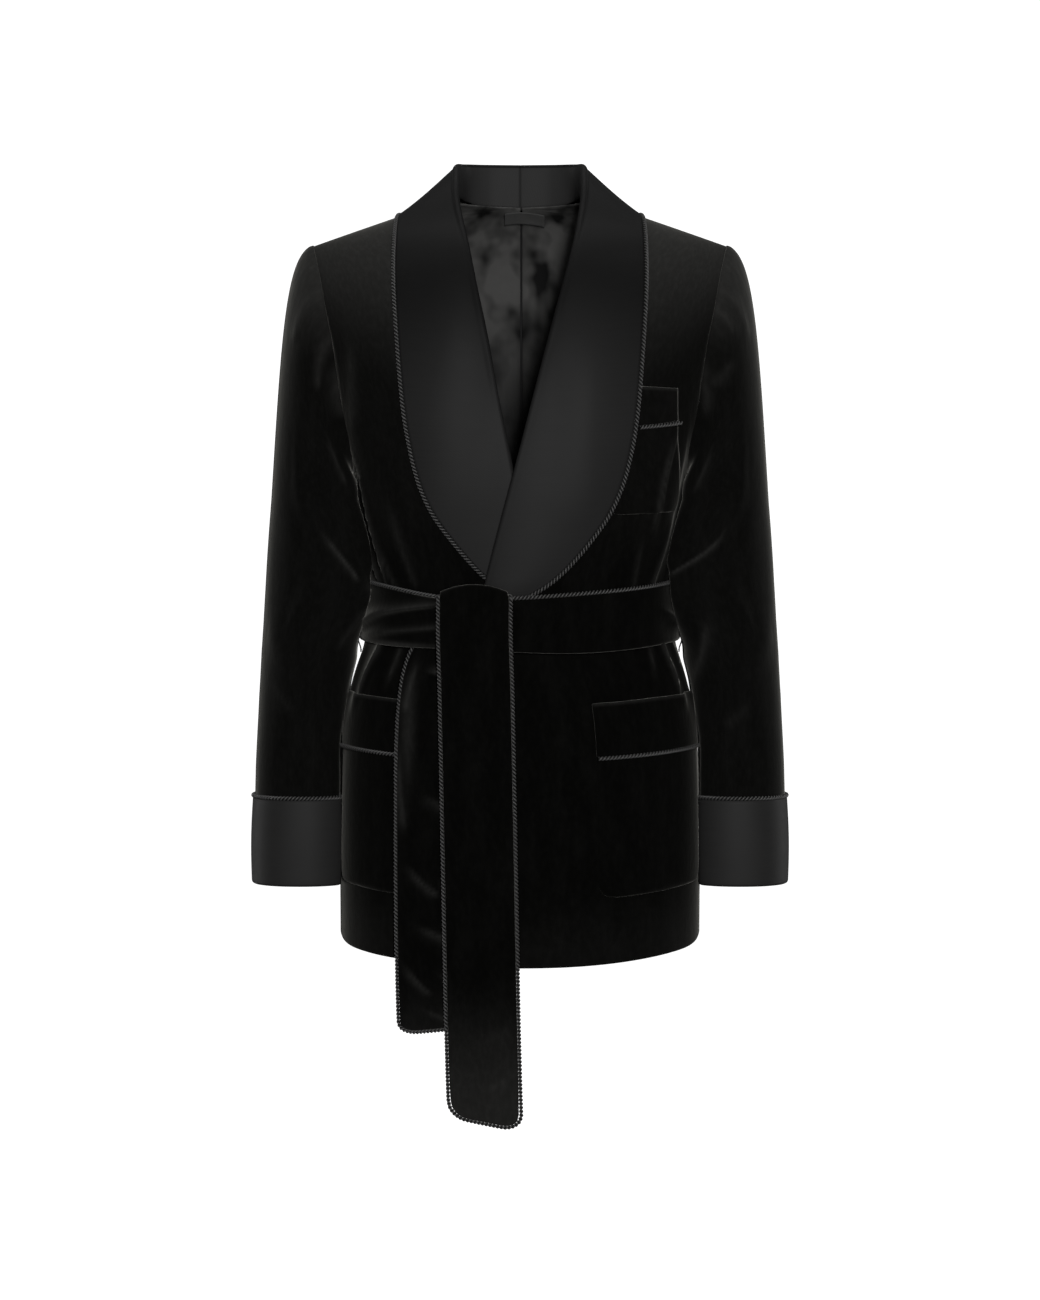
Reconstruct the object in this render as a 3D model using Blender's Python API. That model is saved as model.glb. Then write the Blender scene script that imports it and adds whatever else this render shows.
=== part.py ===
"""Belted velvet smoking jacket with a satin shawl collar, as it hangs when filled out.

Frame: metres, +Z up, the front faces -Y, +X is the wearer's left. The origin is on the
shoulder line at the neck. One surface, body(), gives the shape of the torso; the fronts,
backs, lining, lapels, pockets and belt are all made from its points moved out or in.
"""

import math

import bmesh
import bpy
import numpy as np

# Cloth and gaps
VELVET = 0.0020
SATIN = 0.0018
LINING = 0.0010
BELT = 0.0028
CORD_R = 0.0018
SEAM = 0.00035
CLEAR = 0.0004
CORD_CLEAR = 0.0006
DRAPE = 0.0009
PATCH = 0.0016
LINING_DEPTH = VELVET + DRAPE + 0.0006
LINING_SEAM_X = 0.0025

# Torso, one row per ring from the hem to the shoulder ridge. z is taken at the neck point's
# x; dip is how far the ring drops at centre front; slope is how far it falls with the shoulder.
BODY_COLUMNS = ("z", "half_width", "front", "back", "dip", "slope")
BODY_SECTIONS = (
    (-0.723, 0.1797, 0.1280, 0.1200, 0.015, 0.000),
    (-0.620, 0.1797, 0.1290, 0.1240, 0.012, 0.000),
    (-0.520, 0.1765, 0.1270, 0.1190, 0.010, 0.000),
    (-0.465, 0.1665, 0.1220, 0.1090, 0.011, 0.000),
    (-0.425, 0.1550, 0.1165, 0.1010, 0.012, 0.000),
    (-0.395, 0.1530, 0.1145, 0.0985, 0.012, 0.000),
    (-0.362, 0.1550, 0.1165, 0.1010, 0.012, 0.000),
    (-0.310, 0.1630, 0.1240, 0.1100, 0.008, 0.000),
    (-0.262, 0.1700, 0.1290, 0.1190, 0.004, 0.000),
    (-0.200, 0.1880, 0.1290, 0.1260, 0.002, 0.020),
    (-0.131, 0.2040, 0.1210, 0.1240, 0.000, 0.080),
    (-0.072, 0.2155, 0.1020, 0.1110, 0.000, 0.200),
    (-0.025, 0.2225, 0.0680, 0.0800, 0.000, 0.310),
    (0.0015, 0.2255, 0.0340, 0.0420, 0.000, 0.345),
    (0.012, 0.2265, 0.0000, 0.0000, 0.000, 0.350),
)
BODY = dict(zip(BODY_COLUMNS, np.array(BODY_SECTIONS).T))
RIDGE = len(BODY_SECTIONS) - 1
ARMPIT = 8.0
BACK_NECK = 12.45
NECK_X = 0.075
RING_POWER = 0.889

# Largest folds of the torso: a soft ridge (or trough) from one angle and height to another.
FOLD_COLUMNS = ("angle_top", "z_top", "angle_low", "z_low", "width", "height")
TORSO_FOLDS = (
    (64, -0.19, 50, -0.375, 9.0, 0.0034),
    (77, -0.23, 68, -0.375, 8.0, -0.0030),
    (-64, -0.19, -50, -0.375, 9.0, 0.0034),
    (-77, -0.23, -68, -0.375, 8.0, -0.0030),
    (56, -0.412, 60, -0.500, 8.0, 0.0035),
    (-56, -0.412, -60, -0.500, 8.0, 0.0035),
    (118, -0.18, 128, -0.372, 9.0, 0.0050),
    (-118, -0.18, -128, -0.372, 9.0, 0.0050),
    (152, -0.25, 160, -0.372, 9.0, 0.0040),
    (-152, -0.25, -160, -0.372, 9.0, 0.0040),
    (130, -0.418, 122, -0.66, 9.0, 0.0045),
    (-130, -0.418, -122, -0.66, 9.0, 0.0045),
    (160, -0.418, 156, -0.62, 9.0, 0.0040),
    (-160, -0.418, -156, -0.62, 9.0, 0.0040),
)

# Arm tube below the shoulder, one row per ring, for the wearer's left arm.
SLEEVE_COLUMNS = ("z", "outer_x", "inner_x", "front_y", "back_y")
SLEEVE_SECTIONS = (
    (-0.285, 0.2480, 0.1560, -0.0660, 0.0660),
    (-0.330, 0.2515, 0.1380, -0.0640, 0.0640),
    (-0.370, 0.2540, 0.1400, -0.0620, 0.0620),
    (-0.405, 0.2560, 0.1490, -0.0610, 0.0600),
    (-0.435, 0.2580, 0.1600, -0.0600, 0.0570),
    (-0.480, 0.2605, 0.1660, -0.0580, 0.0540),
    (-0.550, 0.2640, 0.1680, -0.0560, 0.0490),
    (-0.664, 0.2660, 0.1690, -0.0540, 0.0450),
)
SLEEVE = dict(zip(SLEEVE_COLUMNS, np.array(SLEEVE_SECTIONS).T))
SLEEVE_JOIN_Z = SLEEVE_SECTIONS[0][0]
SLEEVE_END_Z = SLEEVE_SECTIONS[-1][0]
SLEEVE_JOIN_V = 0.4
SLEEVE_SEAM_TURN = 105.0
SLEEVE_SEAM_HALF = 0.2
SLEEVE_FOLD_COLUMNS = ("angle_start", "v_start", "angle_end", "v_end", "width", "height")
SLEEVE_FOLDS = (
    (60, 0.36, 120, 0.52, 0.040, 0.0045),
    (115, 0.47, 60, 0.60, 0.035, 0.0045),
    (250, 0.34, 200, 0.50, 0.040, 0.0040),
    (215, 0.50, 285, 0.62, 0.040, 0.0040),
    (30, 0.60, 110, 0.70, 0.035, 0.0035),
)
CUFF_TOP_Z = -0.582
CUFF_SWELL = 0.0010
CUFF_DROP, CUFF_BACK_DROP = 0.0030, 0.0012

# Shawl collar, one row per section from centre back down the wearer's left lapel. Sections
# with roll_y of None lie on the front at the roll line; face is the way the fold looks in plan
# (180 back, 90 side, 0 front); edge_level past the ridge runs down the back.
COLLAR_COLUMNS = ("roll_x", "roll_y", "roll_z", "face", "stand", "edge_x", "edge_level")
COLLAR_SECTIONS = (
    (0.0000, 0.0700, 0.055, 180, 0.046, 0.0000, 16.05),
    (0.0300, 0.0650, 0.055, 155, 0.044, 0.0430, 15.95),
    (0.0510, 0.0470, 0.054, 122, 0.038, 0.0840, 15.45),
    (0.0595, 0.0190, 0.050, 98, 0.034, 0.1110, 14.60),
    (0.0590, -0.0120, 0.034, 72, 0.026, 0.1180, 13.75),
    (0.0560, -0.0420, 0.005, 45, 0.017, 0.1200, 12.85),
    (None, None, -0.045, 24, 0.010, 0.1200, 11.80),
    (None, None, -0.105, 14, 0.010, 0.1185, 10.75),
    (None, None, -0.165, 9, 0.011, 0.1135, 9.70),
    (None, None, -0.225, 5, 0.010, 0.1055, 8.70),
    (None, None, -0.280, 2, 0.009, 0.0910, 7.75),
    (None, None, -0.325, 0, 0.008, 0.0690, 6.95),
    (None, None, -0.362, -2, 0.007, 0.0320, 6.25),
    (None, None, -0.395, -4, 0.006, -0.0180, 5.50),
)
FIRST_ON_FRONT = 5.2
FALL_SHARES = (0.16, 0.36, 0.58, 0.80, 1.0)
FOLD_R = 0.0038
LAPEL_OUT = DRAPE + SATIN
LAPEL_BULGE = 0.0045
FRONT_SET_BACK = 0.0062
OVERLAP_INSET = 0.0102

# Belt
BELT_TOP_Z = -0.366
BELT_END_Z = -0.424
KNOT_ANGLE = -0.30
HEM_HOLD_Z = -0.720
BAND_STAND_OFF = 0.0014
BAND_OVER_LAPELS = 0.0040
BAND_OVER_KNOT = 0.0050
BAND_DRAWN_IN = 0.004
BAND_SWELL = 0.0015
BAND_ROWS = ((0.0, 0.0), (0.3, BAND_SWELL), (0.7, BAND_SWELL), (1.0, 0.0))
CORD_GAP_ANGLE = 0.225
KNOT_X, KNOT_Z = -0.045, -0.406
KNOT_HALF_WIDTH, KNOT_HALF_HEIGHT = 0.030, 0.027
KNOT_BASE, KNOT_EDGE, KNOT_SWELL = 0.0156, 0.0008, 0.0050
LOOP_ANGLE, LOOP_HALF_ANGLE, LOOP_THICK = 1.515, 0.010, 0.0010
LOOP_Z = (-0.352, -0.356, -0.366, -0.395, -0.424, -0.434, -0.438)
LOOP_RISE = (0.0, 0.7, 1.0, 1.0, 1.0, 0.7, 0.0)
LOOP_FOOT = 0.0012

# Neck label
LABEL_HALF_WIDTH, LABEL_THICK, LABEL_DEPTH = 0.0195, 0.0008, 0.0036
LABEL_LOW, LABEL_TOP = BACK_NECK - 0.55, BACK_NECK - 0.12

# Patch pockets: x from the inner to the outer edge, levels of the bottom, of the turned band and of the top,
# where the cord starts, how far the patch lies off the front, and its own count of columns (0: the front's).
POCKET_COLUMNS = ("side", "inner_x", "outer_x", "low", "band", "top", "cord_x", "cord_drop", "gap", "columns")
POCKETS = {
    "left": (1, 0.0748, 0.1742, 0.60, 1.93, 2.80, 0.0748, 0.022, CLEAR, 0),
    "right": (-1, 0.0748, 0.1742, 0.60, 1.93, 2.80, 0.0748, 0.022, CLEAR, 0),
    "breast": (1, 0.085, 0.153, 7.30, 8.83, 9.37, 0.1195, 0.040, 0.0016, 8),
}
POCKET_PASS = 0.0048

# Hanging tails of the belt, one row per section: height, middle, distance off the front, width
TAIL_COLUMNS = ("z", "x_mid", "out", "width")
FRONT_TAIL = (
    (-0.4000, -0.0450, 0.0066, 0.044),
    (-0.3860, -0.0450, 0.0066, 0.048),
    (-0.3760, -0.0448, 0.0082, 0.056),
    (-0.3690, -0.0445, 0.0140, 0.063),
    (-0.3700, -0.0442, 0.0200, 0.064),
    (-0.3770, -0.0440, 0.0236, 0.065),
    (-0.3920, -0.0440, 0.0248, 0.065),
    (-0.4200, -0.0440, 0.0246, 0.065),
    (-0.4700, -0.0425, 0.0222, 0.065),
    (-0.5400, -0.0410, 0.0200, 0.065),
    (-0.6200, -0.0395, 0.0190, 0.065),
    (-0.7000, -0.0380, 0.0190, 0.065),
    (-0.7800, -0.0365, 0.0190, 0.065),
    (-0.8400, -0.0350, 0.0190, 0.065),
    (-0.8700, -0.0342, 0.0190, 0.065),
    (-0.8850, -0.0338, 0.0190, 0.065),
)
UNDER_TAIL = (
    (-0.4080, -0.0720, 0.0026, 0.042),
    (-0.4220, -0.0740, 0.0028, 0.048),
    (-0.4400, -0.0785, 0.0048, 0.057),
    (-0.4650, -0.0820, 0.0072, 0.063),
    (-0.5000, -0.0842, 0.0094, 0.065),
    (-0.5500, -0.0855, 0.0104, 0.065),
    (-0.6100, -0.0858, 0.0104, 0.065),
    (-0.6700, -0.0856, 0.0104, 0.065),
    (-0.7300, -0.0850, 0.0104, 0.065),
    (-0.7650, -0.0842, 0.0104, 0.065),
    (-0.7850, -0.0836, 0.0104, 0.065),
    (-0.7960, -0.0832, 0.0104, 0.065),
)
# End of each tail: z at its left and right edge, and the rise of its corners; then where its cord starts
FRONT_TAIL_END, FRONT_TAIL_FREE = (-0.878, -0.890, 0.012), 4
UNDER_TAIL_END, UNDER_TAIL_FREE = (-0.801, -0.792, 0.008), 3


def spline(rows, level, even_end=True):
    """Smooth curve through table rows at whole-number levels; the far end mirrors evenly or oddly."""
    level = np.asarray(level, float)
    last = len(rows) - 1
    i = np.clip(np.floor(level).astype(int), 0, last - 1)
    t = level - i
    after = rows[last - 1] if even_end else 2 * rows[last] - rows[last - 1]
    padded = np.concatenate([[2 * rows[0] - rows[1]], rows, [after]])
    p0, p1, p2, p3 = padded[i], padded[i + 1], padded[i + 2], padded[i + 3]
    return p1 + 0.5 * t * (p2 - p0 + t * (2 * p0 - 5 * p1 + 4 * p2 - p3 + t * (3 * (p1 - p2) + p3 - p0)))


def ease(t):
    """Smooth step from 0 to 1."""
    t = np.clip(t, 0.0, 1.0)
    return t * t * (3 - 2 * t)


def power(value, exponent):
    """Signed power."""
    return np.sign(value) * np.abs(value) ** exponent


def soft_abs(x):
    """Absolute value rounded off near zero, for the shoulder slope."""
    return np.sqrt(x * x + 0.03 ** 2)


def ring_height(level):
    """Height of the ring at the neck point's x."""
    return spline(BODY["z"], level)


def torso_fold(angle, z):
    """Sum of the fold ridges at an angle and a ring height."""
    degrees = np.degrees((angle + math.pi) % (2 * math.pi) - math.pi)
    total = np.zeros(np.broadcast(degrees, z).shape)
    for row in TORSO_FOLDS:
        fold = dict(zip(FOLD_COLUMNS, row))
        along = np.clip((z - fold["z_top"]) / (fold["z_low"] - fold["z_top"]), 0, 1)
        off = degrees - fold["angle_top"] - (fold["angle_low"] - fold["angle_top"]) * along
        total += fold["height"] * np.sin(math.pi * along) ** 1.5 * np.exp(-(off / fold["width"]) ** 2)
    return total


def body(angle, level, folds=1.0):
    """Torso surface: a superellipse ring at each level; past the ridge it runs down the other side."""
    angle, level = np.broadcast_arrays(np.asarray(angle, float), np.asarray(level, float))
    over = level > RIDGE
    angle = np.where(over, math.pi - angle, angle)
    level = np.where(over, 2 * RIDGE - level, level)
    sine, cosine = np.sin(angle), np.cos(angle)
    width = spline(BODY["half_width"], level)
    front = spline(BODY["front"], level, False)
    back = spline(BODY["back"], level, False)
    z_ring = ring_height(level)
    fold = folds * torso_fold(angle, z_ring)
    x = width * power(sine, RING_POWER) + fold * sine
    y = -np.where(cosine > 0, front, back) * power(cosine, RING_POWER) - fold * cosine
    drop = spline(BODY["dip"], level) * np.maximum(cosine, 0) ** 2
    fall = spline(BODY["slope"], level) * (soft_abs(x) - soft_abs(NECK_X))
    return np.stack([x, y, z_ring - drop - fall], -1)


def body_normal(angle, level, folds=1.0):
    """Outward unit normal of the torso by central differences."""
    across = body(angle + 0.004, level, folds) - body(angle - 0.004, level, folds)
    up = body(angle, level + 0.01, folds) - body(angle, level - 0.01, folds)
    normal = np.cross(across, up)
    return normal / np.linalg.norm(normal, axis=-1, keepdims=True)


def lifted(angle, level, out, folds=1.0):
    """Torso points moved out along the normal."""
    return body(angle, level, folds) + np.asarray(out)[..., None] * body_normal(angle, level, folds)


def angle_at(x, level):
    """Angle on the front half where the ring reaches x."""
    level = np.where(np.asarray(level) > RIDGE, 2 * RIDGE - np.asarray(level), level)
    part = np.clip(np.abs(x) / spline(BODY["half_width"], level), 0, 1)
    return np.sign(x) * np.arcsin(part ** (1 / RING_POWER))


def level_at(x, z):
    """Level of the front surface at x and height z, by halving."""
    low = np.zeros(np.broadcast(x, z).shape)
    high = np.full(low.shape, RIDGE - 0.01)
    for _ in range(40):
        middle = (low + high) / 2
        drop = spline(BODY["dip"], middle) * np.cos(angle_at(x, middle)) ** 2
        fall = spline(BODY["slope"], middle) * (soft_abs(x) - soft_abs(NECK_X))
        below = ring_height(middle) - drop - fall < z
        low = np.where(below, middle, low)
        high = np.where(below, high, middle)
    return (low + high) / 2


def plain_level(z):
    """Level of a ring height, straight between the rings."""
    return np.interp(z, BODY["z"], np.arange(len(BODY["z"])))


def roll_x(z, side):
    """Roll line, then front edge, of the wearer's left (+1) or right (-1) front."""
    if side > 0:
        line = np.maximum(-0.007 + 0.245 * (z + 0.261), -0.048)
        return line + 0.014 * ease((z + 0.05) / 0.067)
    line = np.minimum(-0.0068 - 0.192 * (z + 0.258), 0.045)
    return line - 0.0154 * ease((z + 0.05) / 0.067)


def front_out(x, z, side):
    """How far a front lies from the torso surface: the under front sinks below the upper one."""
    if side > 0:
        return np.zeros(np.broadcast(x, z).shape)
    reach = (x - roll_x(z, 1) + 0.075) / 0.060
    return -OVERLAP_INSET * ease(reach)


def on_front(x, z, out, side):
    """Point lying a distance off a front at x and height z."""
    level = level_at(x, z)
    return lifted(angle_at(x, level), level, out + front_out(x, z, side))


def side_angle(level):
    """Angle of the side seam and, above the armpit, of the armhole edge."""
    rise = np.clip((level - ARMPIT) / (RIDGE - ARMPIT), 0, 1)
    scoop = np.sqrt(1 - (1 - np.minimum(1, rise / 0.4)) ** 2)
    return np.radians(90 - 28 * scoop + 3.5 * ease((rise - 0.55) / 0.45))


PANEL_LEVELS = np.array(
    [0, 0.7, 1.4, 2, 2.6, 3.2, 4, 5, 6, 6.5, 7, 7.5, 8, 8.08, 8.3, 8.7, 9.2, 9.8, 10.4]
    + [11, 11.6, 12.2, 12.8, 13.4, RIDGE - 0.006]
)
LINING_LEVELS = np.array([0.15, 1.4, 2.6, 4, 5, 6, 7, 8, 8.3, 9, 10, 11, 11.8, BACK_NECK, 13.2, RIDGE - 0.1])
FRONT_COLUMNS = 10


def fan(start, end, columns):
    """Rows of angles spread evenly from start to end."""
    spread = np.linspace(0, 1, columns + 1)
    return start[:, None] + (end - start)[:, None] * spread


def front_limits(level, side):
    """Angles of a front's own edge and of its side seam or armhole."""
    z = ring_height(level)
    edge_x = roll_x(z, side) + side * FRONT_SET_BACK * (1 + ease((z + 0.10) / 0.06))
    return angle_at(edge_x, level), side * (side_angle(level) - SEAM / 0.30)


def front_panel(side):
    """Outer and inner points of a front, from its front edge to the side seam and armhole."""
    angle = fan(*front_limits(PANEL_LEVELS, side), FRONT_COLUMNS)
    grid = np.broadcast_to(PANEL_LEVELS[:, None], angle.shape)
    base = body(angle, grid)
    out = front_out(base[..., 0], base[..., 2], side)
    return lifted(angle, grid, out), lifted(angle, grid, out - VELVET)


def back_panel(side, out, thickness, levels, columns, folds=1.0, seam_x=0.0):
    """Outer and inner points of a back half, from the side seam to the centre seam and neck."""
    rise = np.clip((levels - BACK_NECK) / (RIDGE - BACK_NECK), 0, 1)
    neck = angle_at(NECK_X * np.sqrt(rise), levels)
    inner = math.pi - np.maximum(neck, angle_at(SEAM / 2 + side * seam_x, levels))
    outer = math.pi - side_angle(levels) + SEAM / 0.30
    scoop = (outer - math.pi / 2)[:, None] * (1 - np.linspace(0, 1, columns + 1)) ** 3
    angle = side * (fan(np.full(levels.shape, math.pi / 2), inner, columns) + scoop)
    grid = np.broadcast_to(levels[:, None], angle.shape)
    outer_points = lifted(angle, grid, np.float64(out), folds)
    return outer_points, lifted(angle, grid, np.float64(out - thickness), folds)


def wall(name, outer, inner, material, wrap=False):
    """Closed shell between two grids of points; wrap joins the last column to the first."""
    rows, columns = outer.shape[:2]
    count = rows * columns
    points = np.concatenate([outer.reshape(-1, 3), inner.reshape(-1, 3)])
    index = np.arange(count).reshape(rows, columns)
    if wrap:
        index = np.concatenate([index, index[:, :1]], 1)
    a, b, c, d = index[:-1, :-1], index[:-1, 1:], index[1:, 1:], index[1:, :-1]
    halves = np.stack([a, b, c], -1).reshape(-1, 3), np.stack([a, c, d], -1).reshape(-1, 3)
    sheet_faces = np.concatenate(halves)
    faces = [sheet_faces, sheet_faces[:, ::-1] + count]
    rims = [index[0], index[-1][::-1]]
    if not wrap:
        rims += [index[:, -1], index[:, 0][::-1]]
    for rim in rims:
        first, second = rim[:-1], rim[1:]
        faces.append(np.stack([first, first + count, second + count], -1))
        faces.append(np.stack([first, second + count, second], -1))
    mesh = bpy.data.meshes.new(name)
    mesh.from_pydata(points.tolist(), [], np.concatenate(faces).tolist())
    return finish(name, mesh, material)


def finish(name, mesh, material):
    """Add a mesh to the scene with outward normals and its cloth."""
    shape = bmesh.new()
    shape.from_mesh(mesh)
    bmesh.ops.recalc_face_normals(shape, faces=shape.faces)
    shape.to_mesh(mesh)
    shape.free()
    mesh.materials.append(material)
    thing = bpy.data.objects.new(name, mesh)
    bpy.context.collection.objects.link(thing)
    return thing


def cord(name, path, material, closed=False, radius=CORD_R):
    """Round cord swept along a path of points, as a tube of six sides."""
    path = np.asarray(path)
    ahead = np.roll(path, -1, 0) - np.roll(path, 1, 0)
    if not closed:
        ahead[0], ahead[-1] = path[1] - path[0], path[-1] - path[-2]
    ahead /= np.linalg.norm(ahead, axis=1, keepdims=True)
    side = np.empty_like(path)
    guess = np.cross(ahead[0], (0.31, 0.52, 0.79))
    for k in range(len(path)):
        guess = guess - ahead[k] * (guess @ ahead[k])
        guess = guess / np.linalg.norm(guess)
        side[k] = guess
    up = np.cross(ahead, side)
    turn = np.arange(6) * math.pi / 3
    ring = path[:, None] + radius * (
        np.cos(turn)[None, :, None] * side[:, None] + np.sin(turn)[None, :, None] * up[:, None]
    )
    rows = len(path)
    index = np.arange(rows * 6).reshape(rows, 6)
    index = np.concatenate([index, index[:, :1]], 1)
    if closed:
        offset = int(np.argmin(np.linalg.norm(ring[-1] - ring[0, 0], axis=1)))
        last = np.roll(index[0, :6], offset)
        index = np.concatenate([index, np.concatenate([last, last[:1]])[None]], 0)
    a, b, c, d = index[:-1, :-1], index[:-1, 1:], index[1:, 1:], index[1:, :-1]
    faces = np.stack([a, b, c, d], -1).reshape(-1, 4).tolist()
    if not closed:
        faces += [index[0, :6].tolist(), index[-1, :6].tolist()]
    mesh = bpy.data.meshes.new(name)
    mesh.from_pydata(ring.reshape(-1, 3).tolist(), [], faces)
    return finish(name, mesh, material)


def mirror(points):
    """The same points on the wearer's other side, rows kept and columns reversed."""
    return points[:, ::-1] * np.array([-1.0, 1.0, 1.0])


# Sleeves


def armhole(turn):
    """Left armhole edge by the sleeve's own angle: 0 shoulder tip, 90 front, 180 armpit, 270 back."""
    level = RIDGE - (RIDGE - ARMPIT) * np.abs(np.sin(turn / 2))
    angle = np.minimum(side_angle(level), math.pi / 2)
    angle = np.where(np.sin(turn) >= 0, angle, math.pi - angle)
    return body(angle, level)


def arm_ring(turn, z):
    """Arm tube at a height: an oval between its outer, inner, front and back limits."""
    row = np.interp(-z, -SLEEVE["z"], np.arange(len(SLEEVE["z"])))
    outer, inner = spline(SLEEVE["outer_x"], row), spline(SLEEVE["inner_x"], row)
    front, back = spline(SLEEVE["front_y"], row), spline(SLEEVE["back_y"], row)
    x = (outer + inner) / 2 + (outer - inner) / 2 * power(np.cos(turn), 0.92)
    y = (front + back) / 2 + (front - back) / 2 * power(np.sin(turn), 0.92)
    return np.stack(np.broadcast_arrays(np.maximum(x, beside_body(y, z)), y, z), -1)


def beside_body(y, z):
    """Least x at which a sleeve is clear of the torso, the belt and the pockets."""
    level = plain_level(z)
    depth = np.where(y < 0, spline(BODY["front"], level, False), spline(BODY["back"], level, False))
    share = np.clip(np.abs(y) / depth, 0, 1) ** (1 / RING_POWER)
    angle = np.where(y < 0, np.arccos(share), math.pi - np.arccos(share))
    width = spline(BODY["half_width"], level) * np.sin(angle) ** RING_POWER
    width = width + 1.3 * np.maximum(torso_fold(angle, z), 0)
    belt = ease((z - BELT_END_Z + 0.022) / 0.02) * ease((BELT_TOP_Z + 0.022 - z) / 0.02)
    hip = ease((-0.445 - z) / 0.02)
    cord_line = np.exp(-((z + 0.529) / 0.025) ** 2)
    return width + 0.0034 + 0.0060 * belt + 0.0034 * hip + 0.0022 * cord_line


def sleeve_surface(turn, v):
    """Left sleeve: v 0 to 0.4 curves from the armhole into the arm tube, 0.4 to 1 runs down the tube."""
    turn, v = np.broadcast_arrays(np.asarray(turn, float), np.asarray(v, float))
    start = armhole(turn)
    join = arm_ring(turn, np.full(turn.shape, SLEEVE_JOIN_Z))
    top = (1 + np.cos(turn)) / 2
    lead = np.stack([0.35 + 0.60 * top, -0.45 * np.sin(turn) * (1 - top), -0.95 + 0.62 * top], -1)
    lead /= np.linalg.norm(lead, axis=-1, keepdims=True)
    reach = 0.010 + 0.016 * top + 0.018 * np.sin(turn) ** 2
    gap = start[..., 2] - SLEEVE_JOIN_Z
    first = start + 0.0007 * lead
    second = start + reach[..., None] * lead
    third = join + np.stack([-0.011 * top, np.zeros_like(gap), 0.70 * gap], -1)
    t = np.clip(v / SLEEVE_JOIN_V, 0, 1)[..., None]
    cap = first * (1 - t) ** 3 + 3 * second * t * (1 - t) ** 2 + 3 * third * t * t * (1 - t) + join * t ** 3
    below = np.clip((v - SLEEVE_JOIN_V) / (1 - SLEEVE_JOIN_V), 0, 1)
    z = SLEEVE_JOIN_Z + (SLEEVE_END_Z - SLEEVE_JOIN_Z) * below
    return np.where((v < SLEEVE_JOIN_V)[..., None], cap, arm_ring(turn, z))


def v_at(z):
    """Sleeve parameter at a height of the arm tube."""
    return SLEEVE_JOIN_V + (1 - SLEEVE_JOIN_V) * (z - SLEEVE_JOIN_Z) / (SLEEVE_END_Z - SLEEVE_JOIN_Z)


def sleeve_fold(turn, v):
    """Soft slanting folds round the elbow and under the shoulder."""
    degrees = np.degrees(turn) % 360
    total = np.zeros(np.broadcast(degrees, v).shape)
    for row in SLEEVE_FOLDS:
        fold = dict(zip(SLEEVE_FOLD_COLUMNS, row))
        along = np.clip((degrees - fold["angle_start"]) / (fold["angle_end"] - fold["angle_start"]), 0, 1)
        off = v - fold["v_start"] - (fold["v_end"] - fold["v_start"]) * along
        total += fold["height"] * np.sin(math.pi * along) * np.exp(-(off / fold["width"]) ** 2)
    return total


def sleeve(turn, v, out):
    """Left sleeve points with folds, moved out along the normal."""
    step = 0.01
    across = sleeve_surface(turn + step, v) - sleeve_surface(turn - step, v)
    down = sleeve_surface(turn, np.minimum(v + step, 1)) - sleeve_surface(turn, np.maximum(v - step, 0))
    normal = np.cross(across, -down)
    normal /= np.linalg.norm(normal, axis=-1, keepdims=True)
    centre = np.stack([np.cos(turn), -np.sin(turn), np.zeros_like(turn)], -1)
    normal *= np.sign(np.sum(normal * centre, -1, keepdims=True) + 1e-9)
    return sleeve_surface(turn, v) + (sleeve_fold(turn, v) + out)[..., None] * normal


TOP_COLUMNS = 11
UNDER_COLUMNS = 7
SLEEVE_V = np.concatenate([np.linspace(0, SLEEVE_JOIN_V, 7), np.linspace(SLEEVE_JOIN_V, 1, 11)[1:]])


def sleeve_panel(first, last, columns, side):
    """Outer and inner points of one sleeve piece between two seam angles."""
    turn, v = np.meshgrid(np.radians(np.linspace(first, last, columns + 1)), SLEEVE_V)
    outer, inner = sleeve(turn, v, 0.0), sleeve(turn, v, -VELVET)
    return (outer, inner) if side > 0 else (mirror(outer), mirror(inner))


def cuff_turns():
    """Sleeve angles round a cuff: the two sleeve pieces' own columns."""
    top = np.linspace(-SLEEVE_SEAM_TURN, SLEEVE_SEAM_TURN, TOP_COLUMNS + 1)
    under = np.linspace(SLEEVE_SEAM_TURN, 360 - SLEEVE_SEAM_TURN, UNDER_COLUMNS + 1)
    return np.radians(np.concatenate([top, under[1:-1]]))


def cuff_panel(side):
    """Turned-back cuff: down outside the sleeve, round its end and a little way up inside."""
    turn = cuff_turns()
    face, back = CLEAR + SATIN, -VELVET - CLEAR
    # One row per point of the profile: v, then how far its shown and hidden faces lie off the sleeve, and how
    # far each hangs below the sleeve's end.
    profile = (
        (v_at(CUFF_TOP_Z), face, 0, CLEAR, 0),
        (0.94, face + CUFF_SWELL, 0, CLEAR + CUFF_SWELL, 0),
        (1.0, face, 0, CLEAR, 0),
        (1.0, face - 0.0010, CUFF_DROP, CLEAR - 0.0004, CUFF_BACK_DROP),
        (1.0, back - 0.0008, CUFF_DROP, back + 0.0004, CUFF_BACK_DROP),
        (1.0, back - SATIN, 0, back, 0),
        (0.95, back - SATIN, 0, back, 0),
    )
    outer, inner = [], []
    for v, out, drop, under, under_drop in profile:
        level = np.full(turn.shape, v)
        outer.append(sleeve(turn, level, np.float64(out)) - np.array([0, 0, drop]))
        inner.append(sleeve(turn, level, np.float64(under)) - np.array([0, 0, under_drop]))
    outer, inner = np.array(outer), np.array(inner)
    return (outer, inner) if side > 0 else (mirror(outer), mirror(inner))


def cuff_cord_path(side):
    """Ring of cord along the cuff's top edge."""
    turn = cuff_turns()
    v = np.full(turn.shape, v_at(CUFF_TOP_Z + CORD_R + SEAM))
    path = sleeve(turn, v, np.float64(CORD_R + CLEAR + CORD_CLEAR))
    return path * np.array([side, 1.0, 1.0])


# Collar


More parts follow.
